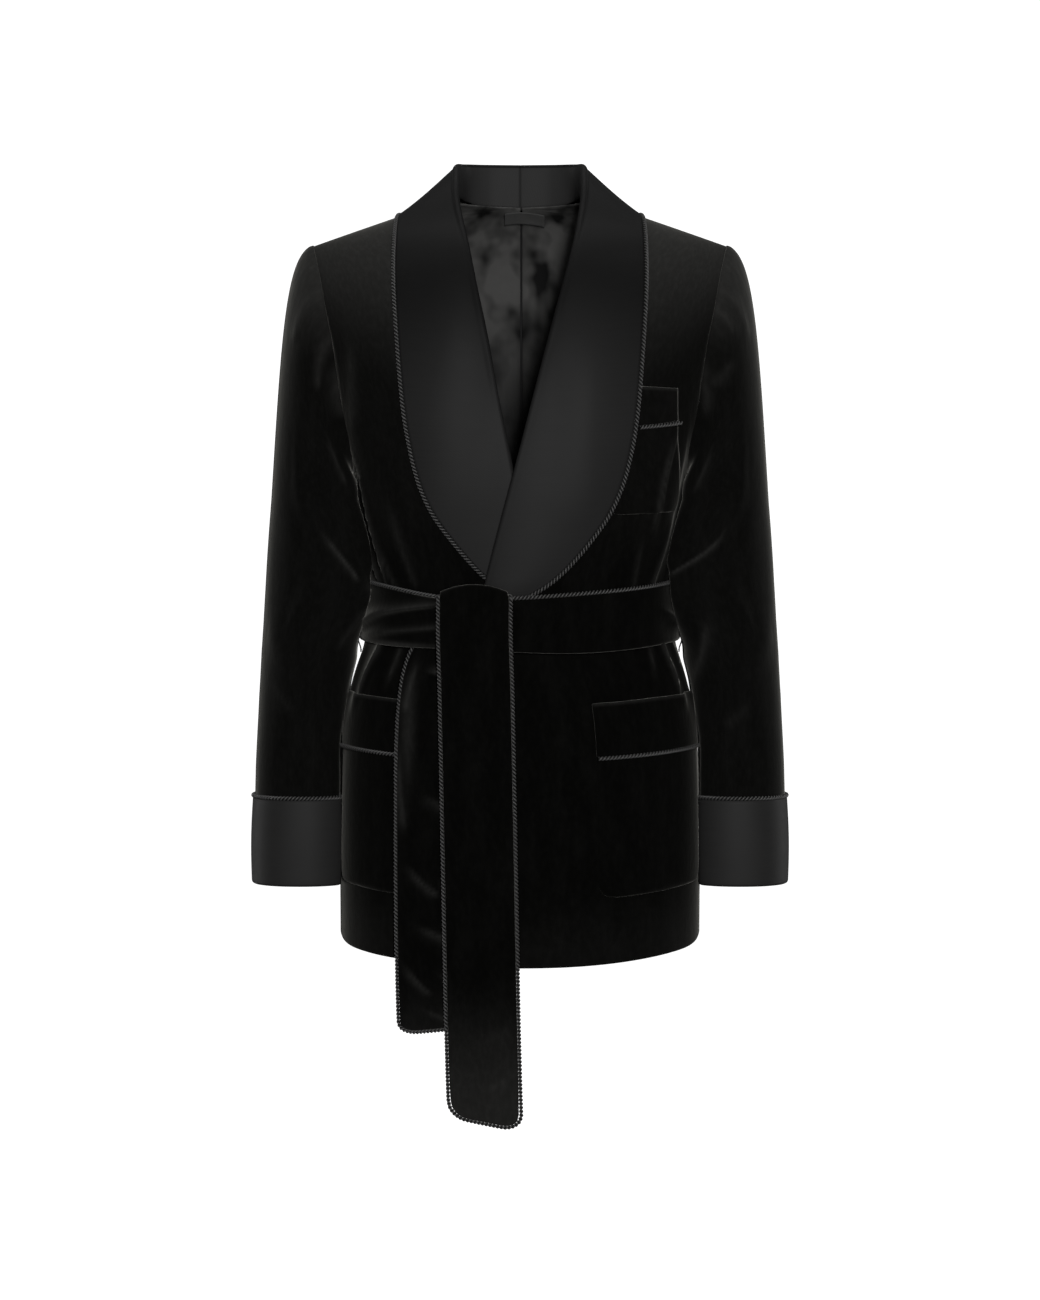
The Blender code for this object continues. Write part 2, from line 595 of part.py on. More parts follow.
def lapel_lift(x, z, side):
    """Extra height of the upper lapel where it passes over the breast pocket."""
    if side < 0:
        return np.zeros(np.broadcast(x, z).shape)
    return POCKET_PASS * np.exp(-(((z + 0.228) / 0.090) ** 4)) * ease((np.abs(x) - 0.03) / 0.04)


def collar_guides(side, count):
    """Roll line, fold facing, stand and outer edge of one collar half at count sections."""
    rows = len(COLLAR_SECTIONS)
    roll, edge = np.zeros((rows, 3)), np.zeros((rows, 3))
    for k, row in enumerate(COLLAR_SECTIONS):
        here = dict(zip(COLLAR_COLUMNS, row))
        z = np.float64(here["roll_z"])
        if here["roll_y"] is None:
            roll[k] = on_front(roll_x(z, side), z, np.float64(LAPEL_OUT - FOLD_R), side)
        else:
            roll[k] = (side * here["roll_x"], here["roll_y"], z)
        level = np.float64(here["edge_level"])
        edge[k] = lifted(angle_at(side * here["edge_x"], level), level, np.float64(LAPEL_OUT))
    at = np.linspace(0, rows - 1, count)
    column = dict(zip(COLLAR_COLUMNS, zip(*COLLAR_SECTIONS)))
    face = np.radians(np.interp(at, np.arange(rows), column["face"]))
    stand = np.interp(at, np.arange(rows), column["stand"])
    roll = np.stack([spline(roll[:, k], at, False) for k in range(3)], -1)
    edge = np.stack([spline(edge[:, k], at, False) for k in range(3)], -1)
    on_body = ease((at - FIRST_ON_FRONT) / 1.3)
    return roll, edge, face, stand, on_body


def collar_panel(side, count=24):
    """Visible and hidden points of a collar half: stand, rounded fold at the roll line, and fall."""
    roll, edge, face, stand, on_body = collar_guides(side, count)
    out = np.stack([side * np.sin(face), -np.cos(face), np.zeros_like(face)], -1)
    level = level_at(roll[:, 0], roll[:, 2])
    on_cloth = body_normal(angle_at(roll[:, 0], level), level)
    out = out + (on_cloth - out) * on_body[:, None]
    along = np.gradient(roll, axis=0)
    crest = side * np.cross(along, out)
    crest /= np.linalg.norm(crest, axis=-1, keepdims=True)
    out = side * np.cross(crest, along)
    out /= np.linalg.norm(out, axis=-1, keepdims=True)
    bend = FOLD_R * np.sqrt(0.5)
    foot = roll - FOLD_R * out
    columns = [foot - stand[:, None] * crest, foot - (0.5 * stand + 0.5 * FOLD_R)[:, None] * crest]
    columns += [foot - FOLD_R * crest, roll - (FOLD_R - bend) * crest - bend * out, roll]
    columns += [roll - (FOLD_R - bend) * crest + bend * out]
    start = roll - FOLD_R * crest + FOLD_R * out
    columns.append(start)
    for t in FALL_SHARES:
        bulge = np.sin(math.pi * t ** 0.75)
        straight = start + (edge - start) * t
        x, z = straight[:, 0], straight[:, 2]
        straight = straight + 0.002 * bulge * out
        cover = front_out(x, z, side) / -OVERLAP_INSET
        width = np.linalg.norm(edge - start, axis=1)
        raised = LAPEL_OUT + LAPEL_BULGE * bulge * np.minimum(1, width / 0.06) * (1 - 0.9 * cover)
        raised = raised + lapel_lift(x, z, side)
        draped = on_front(x, z, raised, side)
        columns.append(straight + (draped - straight) * on_body[:, None])
    shown = np.stack(columns, 1)
    shown[0, :, 0] = side * SEAM / 2
    across, down = np.gradient(shown, axis=1), np.gradient(shown, axis=0)
    normal = side * np.cross(across, -down)
    normal /= np.linalg.norm(normal, axis=-1, keepdims=True)
    facing = np.sum(normal[:, 4] * crest, -1)
    normal = normal * np.sign(facing)[:, None, None]
    normal[0, :, 0] = 0
    hidden = shown - SATIN * normal
    return shown, hidden


def collar_cord_path(side, shown, hidden):
    """Cord along the outer edge of a collar half."""
    along = np.gradient(shown[:, -1], axis=0)
    along /= np.linalg.norm(along, axis=1, keepdims=True)
    away = shown[:, -1] - shown[:, -2]
    away -= along * np.sum(away * along, 1, keepdims=True)
    away /= np.linalg.norm(away, axis=1, keepdims=True)
    middle = (shown[:, -1] + hidden[:, -1]) / 2
    up = shown[:, -1] - hidden[:, -1]
    up /= np.linalg.norm(up, axis=1, keepdims=True)
    path = middle + (CORD_R + SEAM) * away + CORD_R * up
    path[0, 0] = side * CORD_R / 2
    return path[:-1]


# Pockets


def on_lines(level, u, out, side):
    """Point off a front's facets at a level and a share u of the way from its edge to the side seam."""
    row = np.interp(level, PANEL_LEVELS, np.arange(len(PANEL_LEVELS)))
    i = np.minimum(row.astype(int), len(PANEL_LEVELS) - 2)
    j = np.minimum((u * FRONT_COLUMNS).astype(int), FRONT_COLUMNS - 1)
    r, c = (row - i)[..., None], (u * FRONT_COLUMNS - j)[..., None]
    edge, seam = front_limits(PANEL_LEVELS, side)
    angle = fan(edge, seam, FRONT_COLUMNS)
    panel = front_panel(side)[0]
    normal = body_normal(angle, np.broadcast_to(PANEL_LEVELS[:, None], angle.shape))
    cloth = panel + out * normal
    low = cloth[i, j] * (1 - c) + cloth[i, j + 1] * c
    high = cloth[i + 1, j] * (1 - c) + cloth[i + 1, j + 1] * c
    return low * (1 - r) + high * r


def line_of(x, level, side):
    """Share of the way from a front's edge to its side seam at x."""
    edge, seam = front_limits(level, side)
    return (angle_at(side * x, level) - edge) / (seam - edge)


def patch(name, levels, first, last, columns, out, side, material):
    """A wall lying on a front between two lines, on the front's own columns or on its own count of them."""
    if columns:
        share = first[:, None] + (last - first)[:, None] * np.linspace(0, 1, columns + 1)
    else:
        lines = np.arange(1, FRONT_COLUMNS) / FRONT_COLUMNS
        lines = lines[(lines > first.max() + 0.01) & (lines < last.min() - 0.01)]
        inside = np.broadcast_to(lines, (len(levels), len(lines)))
        share = np.concatenate([first[:, None], inside, last[:, None]], 1)
    level = np.broadcast_to(levels[:, None], share.shape)
    outer, inner = on_lines(level, share, out + PATCH, side), on_lines(level, share, out, side)
    return wall(name, outer, inner, material)


def pocket(word, velvet, cording):
    """Patch pocket from its low level to its top, its turned band and the cord under the band."""
    row = dict(zip(POCKET_COLUMNS, POCKETS[word]))
    side, low, band, top, columns = row["side"], row["low"], row["band"], row["top"], row["columns"]
    layer = row["gap"] + PATCH + CLEAR
    middle = np.float64((low + top) / 2)

    def limits(levels, corner):
        """Shares of a patch's two edges, drawn in at its lower corners."""
        if columns:
            first = line_of(row["inner_x"] + 0.2 * corner, levels, side)
            return first, line_of(row["outer_x"] - 0.2 * corner, levels, side)
        first, last = line_of(row["inner_x"], middle, side), line_of(row["outer_x"], middle, side)
        return first + 0.25 * corner, last - corner

    inside = PANEL_LEVELS[(PANEL_LEVELS > low + 0.45) & (PANEL_LEVELS < top - 0.15)]
    levels = np.concatenate([[low, low + 0.06, low + 0.20], inside, [top - 0.03]])
    corner = np.concatenate([[0.055, 0.020], np.zeros(len(levels) - 2)])
    patch("pocket_" + word, levels, *limits(levels, corner), columns, row["gap"], side, velvet)
    inside = PANEL_LEVELS[(PANEL_LEVELS > band + 0.05) & (PANEL_LEVELS < top - 0.05)]
    levels = np.concatenate([[band], inside, [top]])
    patch("band_" + word, levels, *limits(levels, np.zeros(len(levels))), columns, layer, side, velvet)
    level = np.full(12, band - row["cord_drop"])
    end = limits(level, np.zeros(12))[1].min()
    share = np.linspace(line_of(row["cord_x"], level[0], side), end, 12)
    cord("cord_pocket_" + word, on_lines(level, share, layer + CORD_R + CORD_CLEAR, side), cording)


# Belt


def belt_out(angle):
    """Distance of the belt band's inner face from the torso: it stands off at the layered front."""
    front = np.maximum(np.cos(angle), 0)
    knot = np.exp(-((angle - KNOT_ANGLE) / 0.33) ** 2)
    return BAND_STAND_OFF + BAND_OVER_LAPELS * ease((front - 0.35) / 0.5) + BAND_OVER_KNOT * knot


def drawn_in(angle):
    """How far each edge of the band is drawn towards the knot."""
    return BAND_DRAWN_IN * np.exp(-((angle - KNOT_ANGLE) / 0.45) ** 2)


def belt_band(columns=36):
    """Outer and inner points of the sash round the waist, narrower where it is drawn into the knot."""
    angle = np.arange(columns) * 2 * math.pi / columns - math.pi
    top, end = BELT_TOP_Z - drawn_in(angle), BELT_END_Z + drawn_in(angle)
    outer, inner = [], []
    for share, swell in BAND_ROWS:
        level = plain_level(end + (top - end) * share)
        outer.append(lifted(angle, level, belt_out(angle) + BELT + swell))
        inner.append(lifted(angle, level, belt_out(angle)))
    return np.array(outer), np.array(inner)


def belt_cord_path():
    """Cord along the band's top edge, open behind the knot."""
    angle = np.linspace(CORD_GAP_ANGLE, 2 * math.pi - CORD_GAP_ANGLE, 36) + KNOT_ANGLE
    turned = (angle + math.pi) % (2 * math.pi) - math.pi
    level = plain_level(BELT_TOP_Z - drawn_in(turned) + CORD_R + SEAM)
    return lifted(turned, level, belt_out(turned) + BELT - 0.0008)


def sheet(middle, thickness):
    """Outer and inner points of a sheet on both sides of a grid of middle points."""
    normal = np.cross(np.gradient(middle, axis=1), np.gradient(middle, axis=0))
    normal /= np.linalg.norm(normal, axis=-1, keepdims=True)
    return middle + thickness / 2 * normal, middle - thickness / 2 * normal


def tail(sections, end_left, end_right, corner, columns=5):
    """Middle points of a hanging tail: draped on the upper front and straight down below the hem."""
    column = dict(zip(TAIL_COLUMNS, np.array(sections).T[:, :, None]))
    u = np.linspace(-0.5, 0.5, columns + 1)[None]
    bend = np.clip((np.abs(u) * 2 - 0.5) / 0.5, 0, 1)
    end = end_left + (end_right - end_left) * (u + 0.5) + corner * (1 - np.sqrt(1 - bend ** 2))
    rows = np.arange(len(sections))[:, None]
    pull = np.clip((rows - len(sections) + 4) / 3.0, 0, 1) ** 2
    z = column["z"] + pull * (end - column["z"][-1])
    x = column["x_mid"] + u * column["width"]
    point = on_front(x, np.maximum(z, HEM_HOLD_Z), np.broadcast_to(column["out"], x.shape), 1)
    point[..., 0], point[..., 2] = x, z
    return point


def tail_cord(middle):
    """Path of the cord down one edge of a tail, across its end and up the other edge."""
    path = np.concatenate([middle[:, 0], middle[-1, 1:-1], middle[::-1, -1]])
    inward = np.concatenate([middle[:, 1], middle[-2, 1:-1], middle[::-1, -2]])
    along = np.gradient(path, axis=0)
    along /= np.linalg.norm(along, axis=1, keepdims=True)
    away = path - inward
    away -= along * np.sum(away * along, 1, keepdims=True)
    away /= np.linalg.norm(away, axis=1, keepdims=True)
    return path + (CORD_R + CORD_CLEAR) * away


def knot_points():
    """Outer and inner points of the soft knot that the front tail falls over."""
    u, t = np.meshgrid(np.linspace(-1, 1, 6), np.linspace(-1, 1, 6))
    x = KNOT_X + KNOT_HALF_WIDTH * u
    z = KNOT_Z + KNOT_HALF_HEIGHT * t
    swell = KNOT_SWELL * (1 - np.abs(u) ** 4) * (1 - np.abs(t) ** 4)
    outer = on_front(x, z, KNOT_BASE + KNOT_EDGE + swell, 1)
    return outer, on_front(x, z, np.full(x.shape, KNOT_BASE), 1)


def loop_points(side):
    """Middle points of a thread carrier that holds the band at a side seam."""
    face = belt_out(np.float64(math.pi / 2)) + BELT + BAND_SWELL + CORD_CLEAR + LOOP_THICK / 2
    out = LOOP_FOOT + (face - LOOP_FOOT) * np.array(LOOP_RISE)[:, None]
    angle = side * (LOOP_ANGLE + np.array([-LOOP_HALF_ANGLE, LOOP_HALF_ANGLE]))[None]
    angle, level, out = np.broadcast_arrays(angle, plain_level(np.array(LOOP_Z))[:, None], out)
    return lifted(angle, level, out)


def label_points():
    """Outer and inner points of the neck label on the lining under the collar seam."""
    depth = VELVET + DRAPE + LINING + CLEAR + LABEL_DEPTH
    level = np.linspace(LABEL_LOW, LABEL_TOP, 3)[:, None]
    x = np.linspace(-LABEL_HALF_WIDTH, LABEL_HALF_WIDTH, 5)[None]
    angle, level = np.broadcast_arrays(math.pi - angle_at(x, level), level)
    deep = np.full(angle.shape, -depth)
    return lifted(angle, level, deep, 0), lifted(angle, level, deep - LABEL_THICK, 0)


def cloth(name, grey, roughness):
    """A near-black cloth of one grey, with its roughness."""
    material = bpy.data.materials.new(name)
    material.use_nodes = True
    shader = material.node_tree.nodes["Principled BSDF"]
    shader.inputs["Base Color"].default_value = (grey, grey, grey * 1.05, 1)
    shader.inputs["Roughness"].default_value = roughness
    shader.inputs["Metallic"].default_value = 0.0
    material.diffuse_color = (grey, grey, grey * 1.05, 1)
    return material


def main():
    """Build every piece of the jacket."""
    for thing in list(bpy.data.objects):
        bpy.data.objects.remove(thing)
    velvet = cloth("velvet", 0.006, 0.90)
    satin = cloth("satin", 0.020, 0.45)
    lining = cloth("lining", 0.040, 0.40)
    cording = cloth("cord", 0.012, 0.60)

    back_levels = np.sort(np.append(PANEL_LEVELS, BACK_NECK))
    for side, word in ((1, "left"), (-1, "right")):
        wall("front_" + word, *front_panel(side), velvet)
        wall("back_" + word, *back_panel(side, 0.0, VELVET, back_levels, 7), velvet)
        back = back_panel(side, -LINING_DEPTH, LINING, LINING_LEVELS, 6, 0.0, LINING_SEAM_X)
        wall("lining_back_" + word, *back, lining)
        seam, under_seam = SLEEVE_SEAM_TURN - SLEEVE_SEAM_HALF, SLEEVE_SEAM_TURN + SLEEVE_SEAM_HALF
        wall("sleeve_" + word + "_top", *sleeve_panel(-seam, seam, TOP_COLUMNS, side), velvet)
        under = sleeve_panel(under_seam, 360 - under_seam, UNDER_COLUMNS, side)
        wall("sleeve_" + word + "_under", *under, velvet)
        wall("cuff_" + word, *cuff_panel(side), satin, wrap=True)
        cord("cord_cuff_" + word, cuff_cord_path(side), cording, closed=True)
        shown, hidden = collar_panel(side)
        wall("collar_" + word, shown, hidden, satin)
        cord("cord_collar_" + word, collar_cord_path(side, shown, hidden), cording)
        wall("belt_loop_" + word, *sheet(loop_points(side), LOOP_THICK), cording)
    for word in POCKETS:
        pocket(word, velvet, cording)
    wall("neck_label", *label_points(), satin)

    wall("belt_band", *belt_band(), velvet, wrap=True)
    wall("belt_knot", *knot_points(), velvet)
    cord("cord_belt_band", belt_cord_path(), cording)
    front = tail(FRONT_TAIL, *FRONT_TAIL_END)
    wall("belt_tail_front", *sheet(front, BELT), velvet)
    cord("cord_tail_front", tail_cord(front[FRONT_TAIL_FREE:]), cording)
    under = tail(UNDER_TAIL, *UNDER_TAIL_END)
    wall("belt_tail_under", *sheet(under, BELT), velvet)
    cord("cord_tail_under", tail_cord(under[UNDER_TAIL_FREE:]), cording)


main()
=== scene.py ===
"""Looks of the belted velvet smoking jacket.

Every cloth piece is a fine surface worked out as whole arrays on the form of its CAD solid. One torso
surface carries the fronts, backs, lining, lapels, pockets and belt, and one arm surface carries the sleeves
and cuffs. Metres and radians where no unit is given. +Z up, the front faces -Y, +X is the wearer's left, and
the origin is on the shoulder line at the neck.
"""

import math

import bpy
import numpy as np
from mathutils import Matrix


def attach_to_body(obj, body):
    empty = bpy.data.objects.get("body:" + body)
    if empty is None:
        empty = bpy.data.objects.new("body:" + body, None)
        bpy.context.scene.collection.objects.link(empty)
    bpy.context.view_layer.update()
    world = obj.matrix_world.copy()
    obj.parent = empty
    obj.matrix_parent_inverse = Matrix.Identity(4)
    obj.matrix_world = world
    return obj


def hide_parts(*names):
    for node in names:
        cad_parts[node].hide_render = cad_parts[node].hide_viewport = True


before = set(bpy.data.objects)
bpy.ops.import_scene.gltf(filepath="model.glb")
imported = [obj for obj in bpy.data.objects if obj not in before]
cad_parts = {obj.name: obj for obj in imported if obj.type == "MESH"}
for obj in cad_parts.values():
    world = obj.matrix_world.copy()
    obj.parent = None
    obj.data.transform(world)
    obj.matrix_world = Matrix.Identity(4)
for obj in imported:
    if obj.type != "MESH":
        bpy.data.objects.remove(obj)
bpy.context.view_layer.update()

MM = 0.001
SIDES = ((1, "left"), (-1, "right"))

# Cloth and gaps
VELVET = 0.0020
SATIN = 0.0018
LINING = 0.0010
BELT = 0.0028
PATCH = 0.0016
PATCH_GAP = 0.0006
CORD_R = 0.0022
CORD_LAY = 0.0074
CORD_STEPS = 8
CORD_SIDES = 6
STRAND_OUT = 0.46
SEAM = 0.00035
CLEAR = 0.0004
DRAPE = 0.0009
SEAM_DIP = 0.0006
SEAM_REACH = 0.0024
EDGE_DIP = 0.0017
SEAM_ANGLE = SEAM / 0.30

# Rows and columns of the grids
FRONT_GRID = (190, 104)
BACK_GRID = (180, 84)
LINING_GRID = (110, 44)
CAP_ROWS = 54
TUBE_ROWS = 134
CUFF_ROWS = 26
CUFF_FOLD_ROWS = 9
CUFF_INNER_ROWS = 6
CUFF_COLUMNS = 132
COLLAR_ROWS = 190
STAND_COLUMNS = 9
FOLD_COLUMNS = 12
FALL_COLUMNS = 36
PATCH_ROWS = 60
BAND_ROWS = 24
PATCH_COLUMNS = 44
BELT_GRID = (30, 300)
TAIL_GRID = (230, 30)
KNOT_ROWS = 40
LABEL_GRID = (12, 24)
CROWDING = 0.09
FINE_LEVELS = 900
PANEL_LINE = 0.6
ANGLE_STEP = 0.004
LEVEL_STEP = 0.01
TURN_STEP = 0.01
HALVINGS = 30
RIM_OUT = 0.8

# Painted light on the velvet, 0 to 1, which turns its colour paler: painted highlights on crease crests and
# band edges, painted sheen on the shoulders, sleeve heads and near the hem, and the upper body and sleeves
# painted a little lighter
CREASE_HIGHLIGHT = 0.36
SHOULDER_SHEEN = 0.30
UPPER_PAINTED_LIGHT = 0.024
SLEEVE_HEAD_SHEEN = 0.28
HEM_SHEEN = 0.03
BAND_EDGE_HIGHLIGHT = 0.12
BAND_EDGE_FROM = 0.9
SHOULDER_SHEEN_Z = -0.20
SHOULDER_SHEEN_RUN = 0.23
SHOULDER_SHEEN_RISE = 0.17
SHOULDER_SHEEN_SINE = 0.57
CHEST_LIGHT_Z = -0.37
CHEST_LIGHT_RUN = 0.10
HEM_SHEEN_Z = -0.655
HEM_SHEEN_RUN = 0.06
SLEEVE_HEAD_Z = -0.16
SLEEVE_HEAD_RUN = 0.12

# Torso, one row per ring from the hem to the shoulder ridge, in mm. z is taken at the neck point's x, dip is
# how far the ring drops at centre front, and slope how far it falls per metre along the shoulder.
BODY_COLUMNS = ("z", "half_width", "front", "back", "dip", "slope")
BODY_SECTIONS = (
    (-723, 179.7, 128, 120, 15, 0),
    (-620, 179.7, 129, 124, 12, 0),
    (-520, 176.5, 127, 119, 10, 0),
    (-465, 166.5, 122, 109, 11, 0),
    (-425, 155, 116.5, 101, 12, 0),
    (-395, 153, 114.5, 98.5, 12, 0),
    (-362, 155, 116.5, 101, 12, 0),
    (-310, 163, 124, 110, 8, 0),
    (-262, 170, 129, 119, 4, 0),
    (-200, 188, 129, 126, 2, 20),
    (-131, 204, 121, 124, 0, 80),
    (-72, 215.5, 102, 111, 0, 200),
    (-25, 222.5, 68, 80, 0, 310),
    (1.5, 225.5, 34, 42, 0, 345),
    (12, 226.5, 0, 0, 0, 350),
)
BODY = dict(zip(BODY_COLUMNS, np.array(BODY_SECTIONS).T * MM))
RIDGE = len(BODY_SECTIONS) - 1
TOP_LEVEL = RIDGE - 0.006
ARMPIT = 8.0
BACK_NECK = 12.45
NECK_X = 0.075
NECK_SOFT = 0.03
RING_POWER = 0.889
HEM_CORNER = 0.009
HEM_CORNER_REACH = 0.22
HEM_CORNER_LEVELS = 0.6
ARMHOLE_SCOOP = 28.0
ARMHOLE_SCOOP_SHARE = 0.4
ARMHOLE_TOP_TURN = 3.5
ARMHOLE_TURN_FROM = 0.55
LINING_SEAM_X = 0.0025
LINING_NECK = 12.75
LINING_OUT = -VELVET - DRAPE - 0.0006
LINING_LEVELS = (0.15, RIDGE - 0.1)
# Painted shade on the lining: darker going down over this run towards the waist
LINING_SHADE_Z = -0.21
LINING_SHADE_RUN = 0.17

# Roll line of each front: the x and slope of its slant at a height, that height, the x at which it turns
# upright, and how far it is drawn out at the neck
ROLL = {
    1: (-0.0070, 0.260, -0.261, -0.048, 0.0140),
    -1: (-0.0068, -0.192, -0.258, 0.045, -0.0154),
}
ROLL_NECK_Z = -0.05
ROLL_NECK_RUN = 0.067
SET_BACK = 0.0062
SET_BACK_Z = -0.10
SET_BACK_RUN = 0.06
OVERLAP_INSET = 0.0102
OVERLAP_START = 0.100
OVERLAP_RUN = 0.085

# Largest folds of either side of the torso, each a soft ridge or trough: the angle (degrees) and height (mm)
# where it starts, where it ends, its width in degrees and its height in mm.
SIDE_FOLDS = (
    (64, -190, 50, -375, 9, 3.4),
    (77, -230, 68, -375, 8, -3),
    (56, -412, 60, -500, 8, 3.5),
    (118, -180, 128, -372, 9, 5),
    (152, -250, 160, -372, 9, 4),
    (130, -418, 122, -660, 9, 4.5),
    (160, -418, 156, -620, 9, 4),
)
BOTH_SIDES = [(side * row[0], row[1], side * row[2], *row[3:]) for side in (1, -1) for row in SIDE_FOLDS]
TORSO_FOLDS = np.array(BOTH_SIDES) * (1, MM, 1, MM, 1, MM)

# Creases, one row each: where the line starts and where it ends (degrees round the form, and a height in mm),
# then in mm its sideways bow, its width on one side and on the other, and how far it stands off the cloth.
CREASE_UNITS = (1, MM, 1, MM, MM, MM, MM, MM)
CREST_FULL = 0.006
TORSO_CREASES = (
    (-50, -85, -61, -225, -4, 16, 10, 2),
    (-86, -240, -55, -383, 1, 8.5, 4, 5.6),
    (-69, -215, -52, -380, 1, 7, 3, 5),
    (-52, -250, -37, -380, 1, 12, 9, 1.5),
    (-60, -300, -46, -384, 2, 6, 4, 2.2),
    (-69, -505, -56, -408, -2, 9, 6, 4.6),
    (-50, -480, -46, -410, 0, 7, 6, 2.6),
    (-81, -570, -75, -410, -2, 12, 9, 3.4),
    (54, -185, 50, -330, 1, 3.4, 5.2, 3),
    (60, -195, 67, -300, 2, 6, 10, 1.6),
    (66, -285, 51, -384, -1, 3.4, 7, 3.4),
    (45, -295, 43, -382, 0, 6, 8, 1.4),
    (77, -220, 66, -385, -4, 4, 9, 4),
    (67, -500, 60, -408, -1, 8, 4.5, 5.6),
    (50, -470, 53, -410, 0, 6, 4, 1.8),
    (82, -540, 72, -410, 0, 9, 6, 3.6),
    (103, -205, 122, -385, 6, 5, 11, 5.6),
    (-104, -200, -124, -385, -7, 10, 5, 5.8),
    (112, -260, 140, -383, 4, 6, 10, 4.4),
    (-114, -275, -138, -384, -3, 10, 6, 4.2),
    (136, -170, 148, -382, 4, 9, 12, 3.4),
    (-138, -165, -146, -384, -4, 12, 9, 3.6),
    (166, -280, 171, -384, 1, 6, 8, 2.8),
    (-169, -275, -173, -384, -1, 8, 6, 3.2),
    (104, -545, 108, -408, -2, 10, 6, 4.6),
    (-105, -565, -110, -408, 2, 6, 10, 4.8),
    (140, -505, 143, -409, -1, 8, 6, 3.8),
    (-141, -525, -146, -409, -1, 6, 8, 4),
    (170, -515, 172, -410, 0, 8, 7, 3.2),
    (-157, -490, -160, -409, 0, 8, 6, 2.8),
    (120, -600, 116, -760, 2, 16, 16, 3.6),
    (-126, -590, -121, -760, 2, 16, 16, 3.8),
)
TORSO_DEGREE = 0.0028

# Arm tube below the shoulder, one row per ring in mm, for the wearer's left arm
SLEEVE_COLUMNS = ("z", "outer_x", "inner_x", "front_y", "back_y")
SLEEVE_SECTIONS = (
    (-285, 248, 156, -66, 66),
    (-330, 251.5, 138, -64, 64),
    (-370, 254, 140, -62, 62),
    (-405, 256, 149, -61, 60),
    (-435, 258, 160, -60, 57),
    (-480, 260.5, 166, -58, 54),
    (-550, 264, 168, -56, 49),
    (-664, 266, 169, -54, 45),
)
SLEEVE = dict(zip(SLEEVE_COLUMNS, np.array(SLEEVE_SECTIONS).T * MM))
SLEEVE_JOIN_Z = -0.285
SLEEVE_END_Z = -0.664
SLEEVE_PIECES = (("top", -104.8, 104.8, 84), ("under", 104.9, 255.1, 76))
CAP_SHARE = 0.4
ARM_POWER = 0.92
CUFF_TOP_Z = -0.582
CUFF_SWELL = 0.0010
CUFF_CORD_POINTS = 240
CUFF_INSIDE = 0.95

# The sleeve's swell over the armpit and elbow, and the room that it leaves for what is on the body
ELBOW_IN = 0.010
ELBOW_Z = -0.365
ELBOW_RUN = 0.052
ARMPIT_IN = 0.006
ARMPIT_Z = -0.165
SWELL_OUT = 0.014
SWELL_END_Z = -0.42
SWELL_RUN = 0.10
HOLD_Z = -0.255
HOLD_RUN = 0.03
HOLD_SOFT = 0.003
BODY_ROOM = 0.0020
BELT_ROOM = 0.0060
HIP_ROOM = 0.0008
POCKET_CORD_ROOM = 0.0020
POCKET_CORD_Z = -0.529
POCKET_CORD_REACH = 0.025
FOLD_ROOM = 1.3
BELT_ROOM_REACH = 0.022
HIP_Z = -0.445
ROOM_RUN = 0.02
SLEEVE_SEAM_SHARE = 0.3
SLEEVE_TUCK = 0.0026
SLEEVE_LAP = 0.0024
SLEEVE_SINK = 0.0010
SLEEVE_DEGREE = 0.00085
# Large folds round the elbow: the angle and share down the sleeve of each end, its width and its height
SLEEVE_FOLDS = (
    (60, 0.36, 120, 0.52, 0.040, 0.0045),
    (115, 0.47, 60, 0.60, 0.035, 0.0045),
    (250, 0.34, 200, 0.50, 0.040, 0.0040),
    (215, 0.50, 285, 0.62, 0.040, 0.0040),
    (30, 0.60, 110, 0.70, 0.035, 0.0035),
)
# Sleeve creases by the angle round the arm: 0 outside, 90 front, 180 body side, 270 back.
SLEEVE_CREASES = {
    -1: (
        (84, -120, 118, -215, 4, 3.4, 5.6, 2),
        (72, -85, 92, -190, 2, 3.4, 5, 2),
        (96, -200, 128, -280, 3, 3.4, 6.3, 1.4),
        (84, -296, 126, -374, 3, 2, 5, 3.2),
        (122, -352, 150, -392, 2, 4, 7, 1.8),
        (146, -370, 120, -440, 2, 6, 8, 1.4),
        (38, -440, 86, -500, 4, 8, 12, 0.7),
        (54, -62, 50, -135, 0, 3.4, 5, 1.7),
        (-30, -70, -26, -130, 0, 3.5, 5, 1.5),
        (-52, -75, -46, -150, 0, 3.5, 5, 1.7),
        (282, -330, 215, -372, -6, 3.4, 5.6, 3.7),
        (292, -372, 228, -402, -5, 3.4, 5.6, 3.3),
        (276, -290, 222, -330, -4, 3.4, 6.3, 2.8),
        (262, -175, 238, -280, -3, 3.5, 6.3, 2.6),
        (300, -420, 250, -455, -4, 3.5, 6.3, 2.2),
        (310, -530, 268, -560, -3, 4.2, 7, 1.7),
    ),
    1: (
        (58, -130, 104, -180, 3, 7, 11, 1.3),
        (80, -100, 112, -215, 3, 3.4, 5.6, 1.7),
        (98, -215, 126, -285, 3, 3.4, 7, 1.3),
        (78, -288, 144, -366, 13, 2.1, 5.2, 3.1),
        (126, -338, 158, -352, 2, 4, 6, 1.6),
        (92, -380, 146, -470, 2, 6, 9.5, 2.4),
        (66, -470, 112, -512, 4, 8, 12, 0.7),
        (50, -60, 46, -130, 0, 3.4, 5, 1.9),
        (64, -68, 62, -128, 0, 3.4, 5, 1.7),
        (-34, -68, -30, -135, 0, 3.5, 5, 1.5),
        (-58, -80, -50, -155, 0, 3.5, 5, 1.7),
        (280, -318, 212, -362, -6, 3.4, 5.6, 3.9),
        (290, -365, 226, -395, -4, 3.4, 5.6, 3.2),
        (270, -280, 220, -318, -4, 3.4, 6.3, 2.8),
        (258, -180, 236, -270, -3, 3.5, 6.3, 2.4),
        (302, -412, 246, -450, -4, 3.5, 6.3, 2.4),
        (316, -505, 262, -545, -3, 4.2, 7, 1.9),
    ),
}

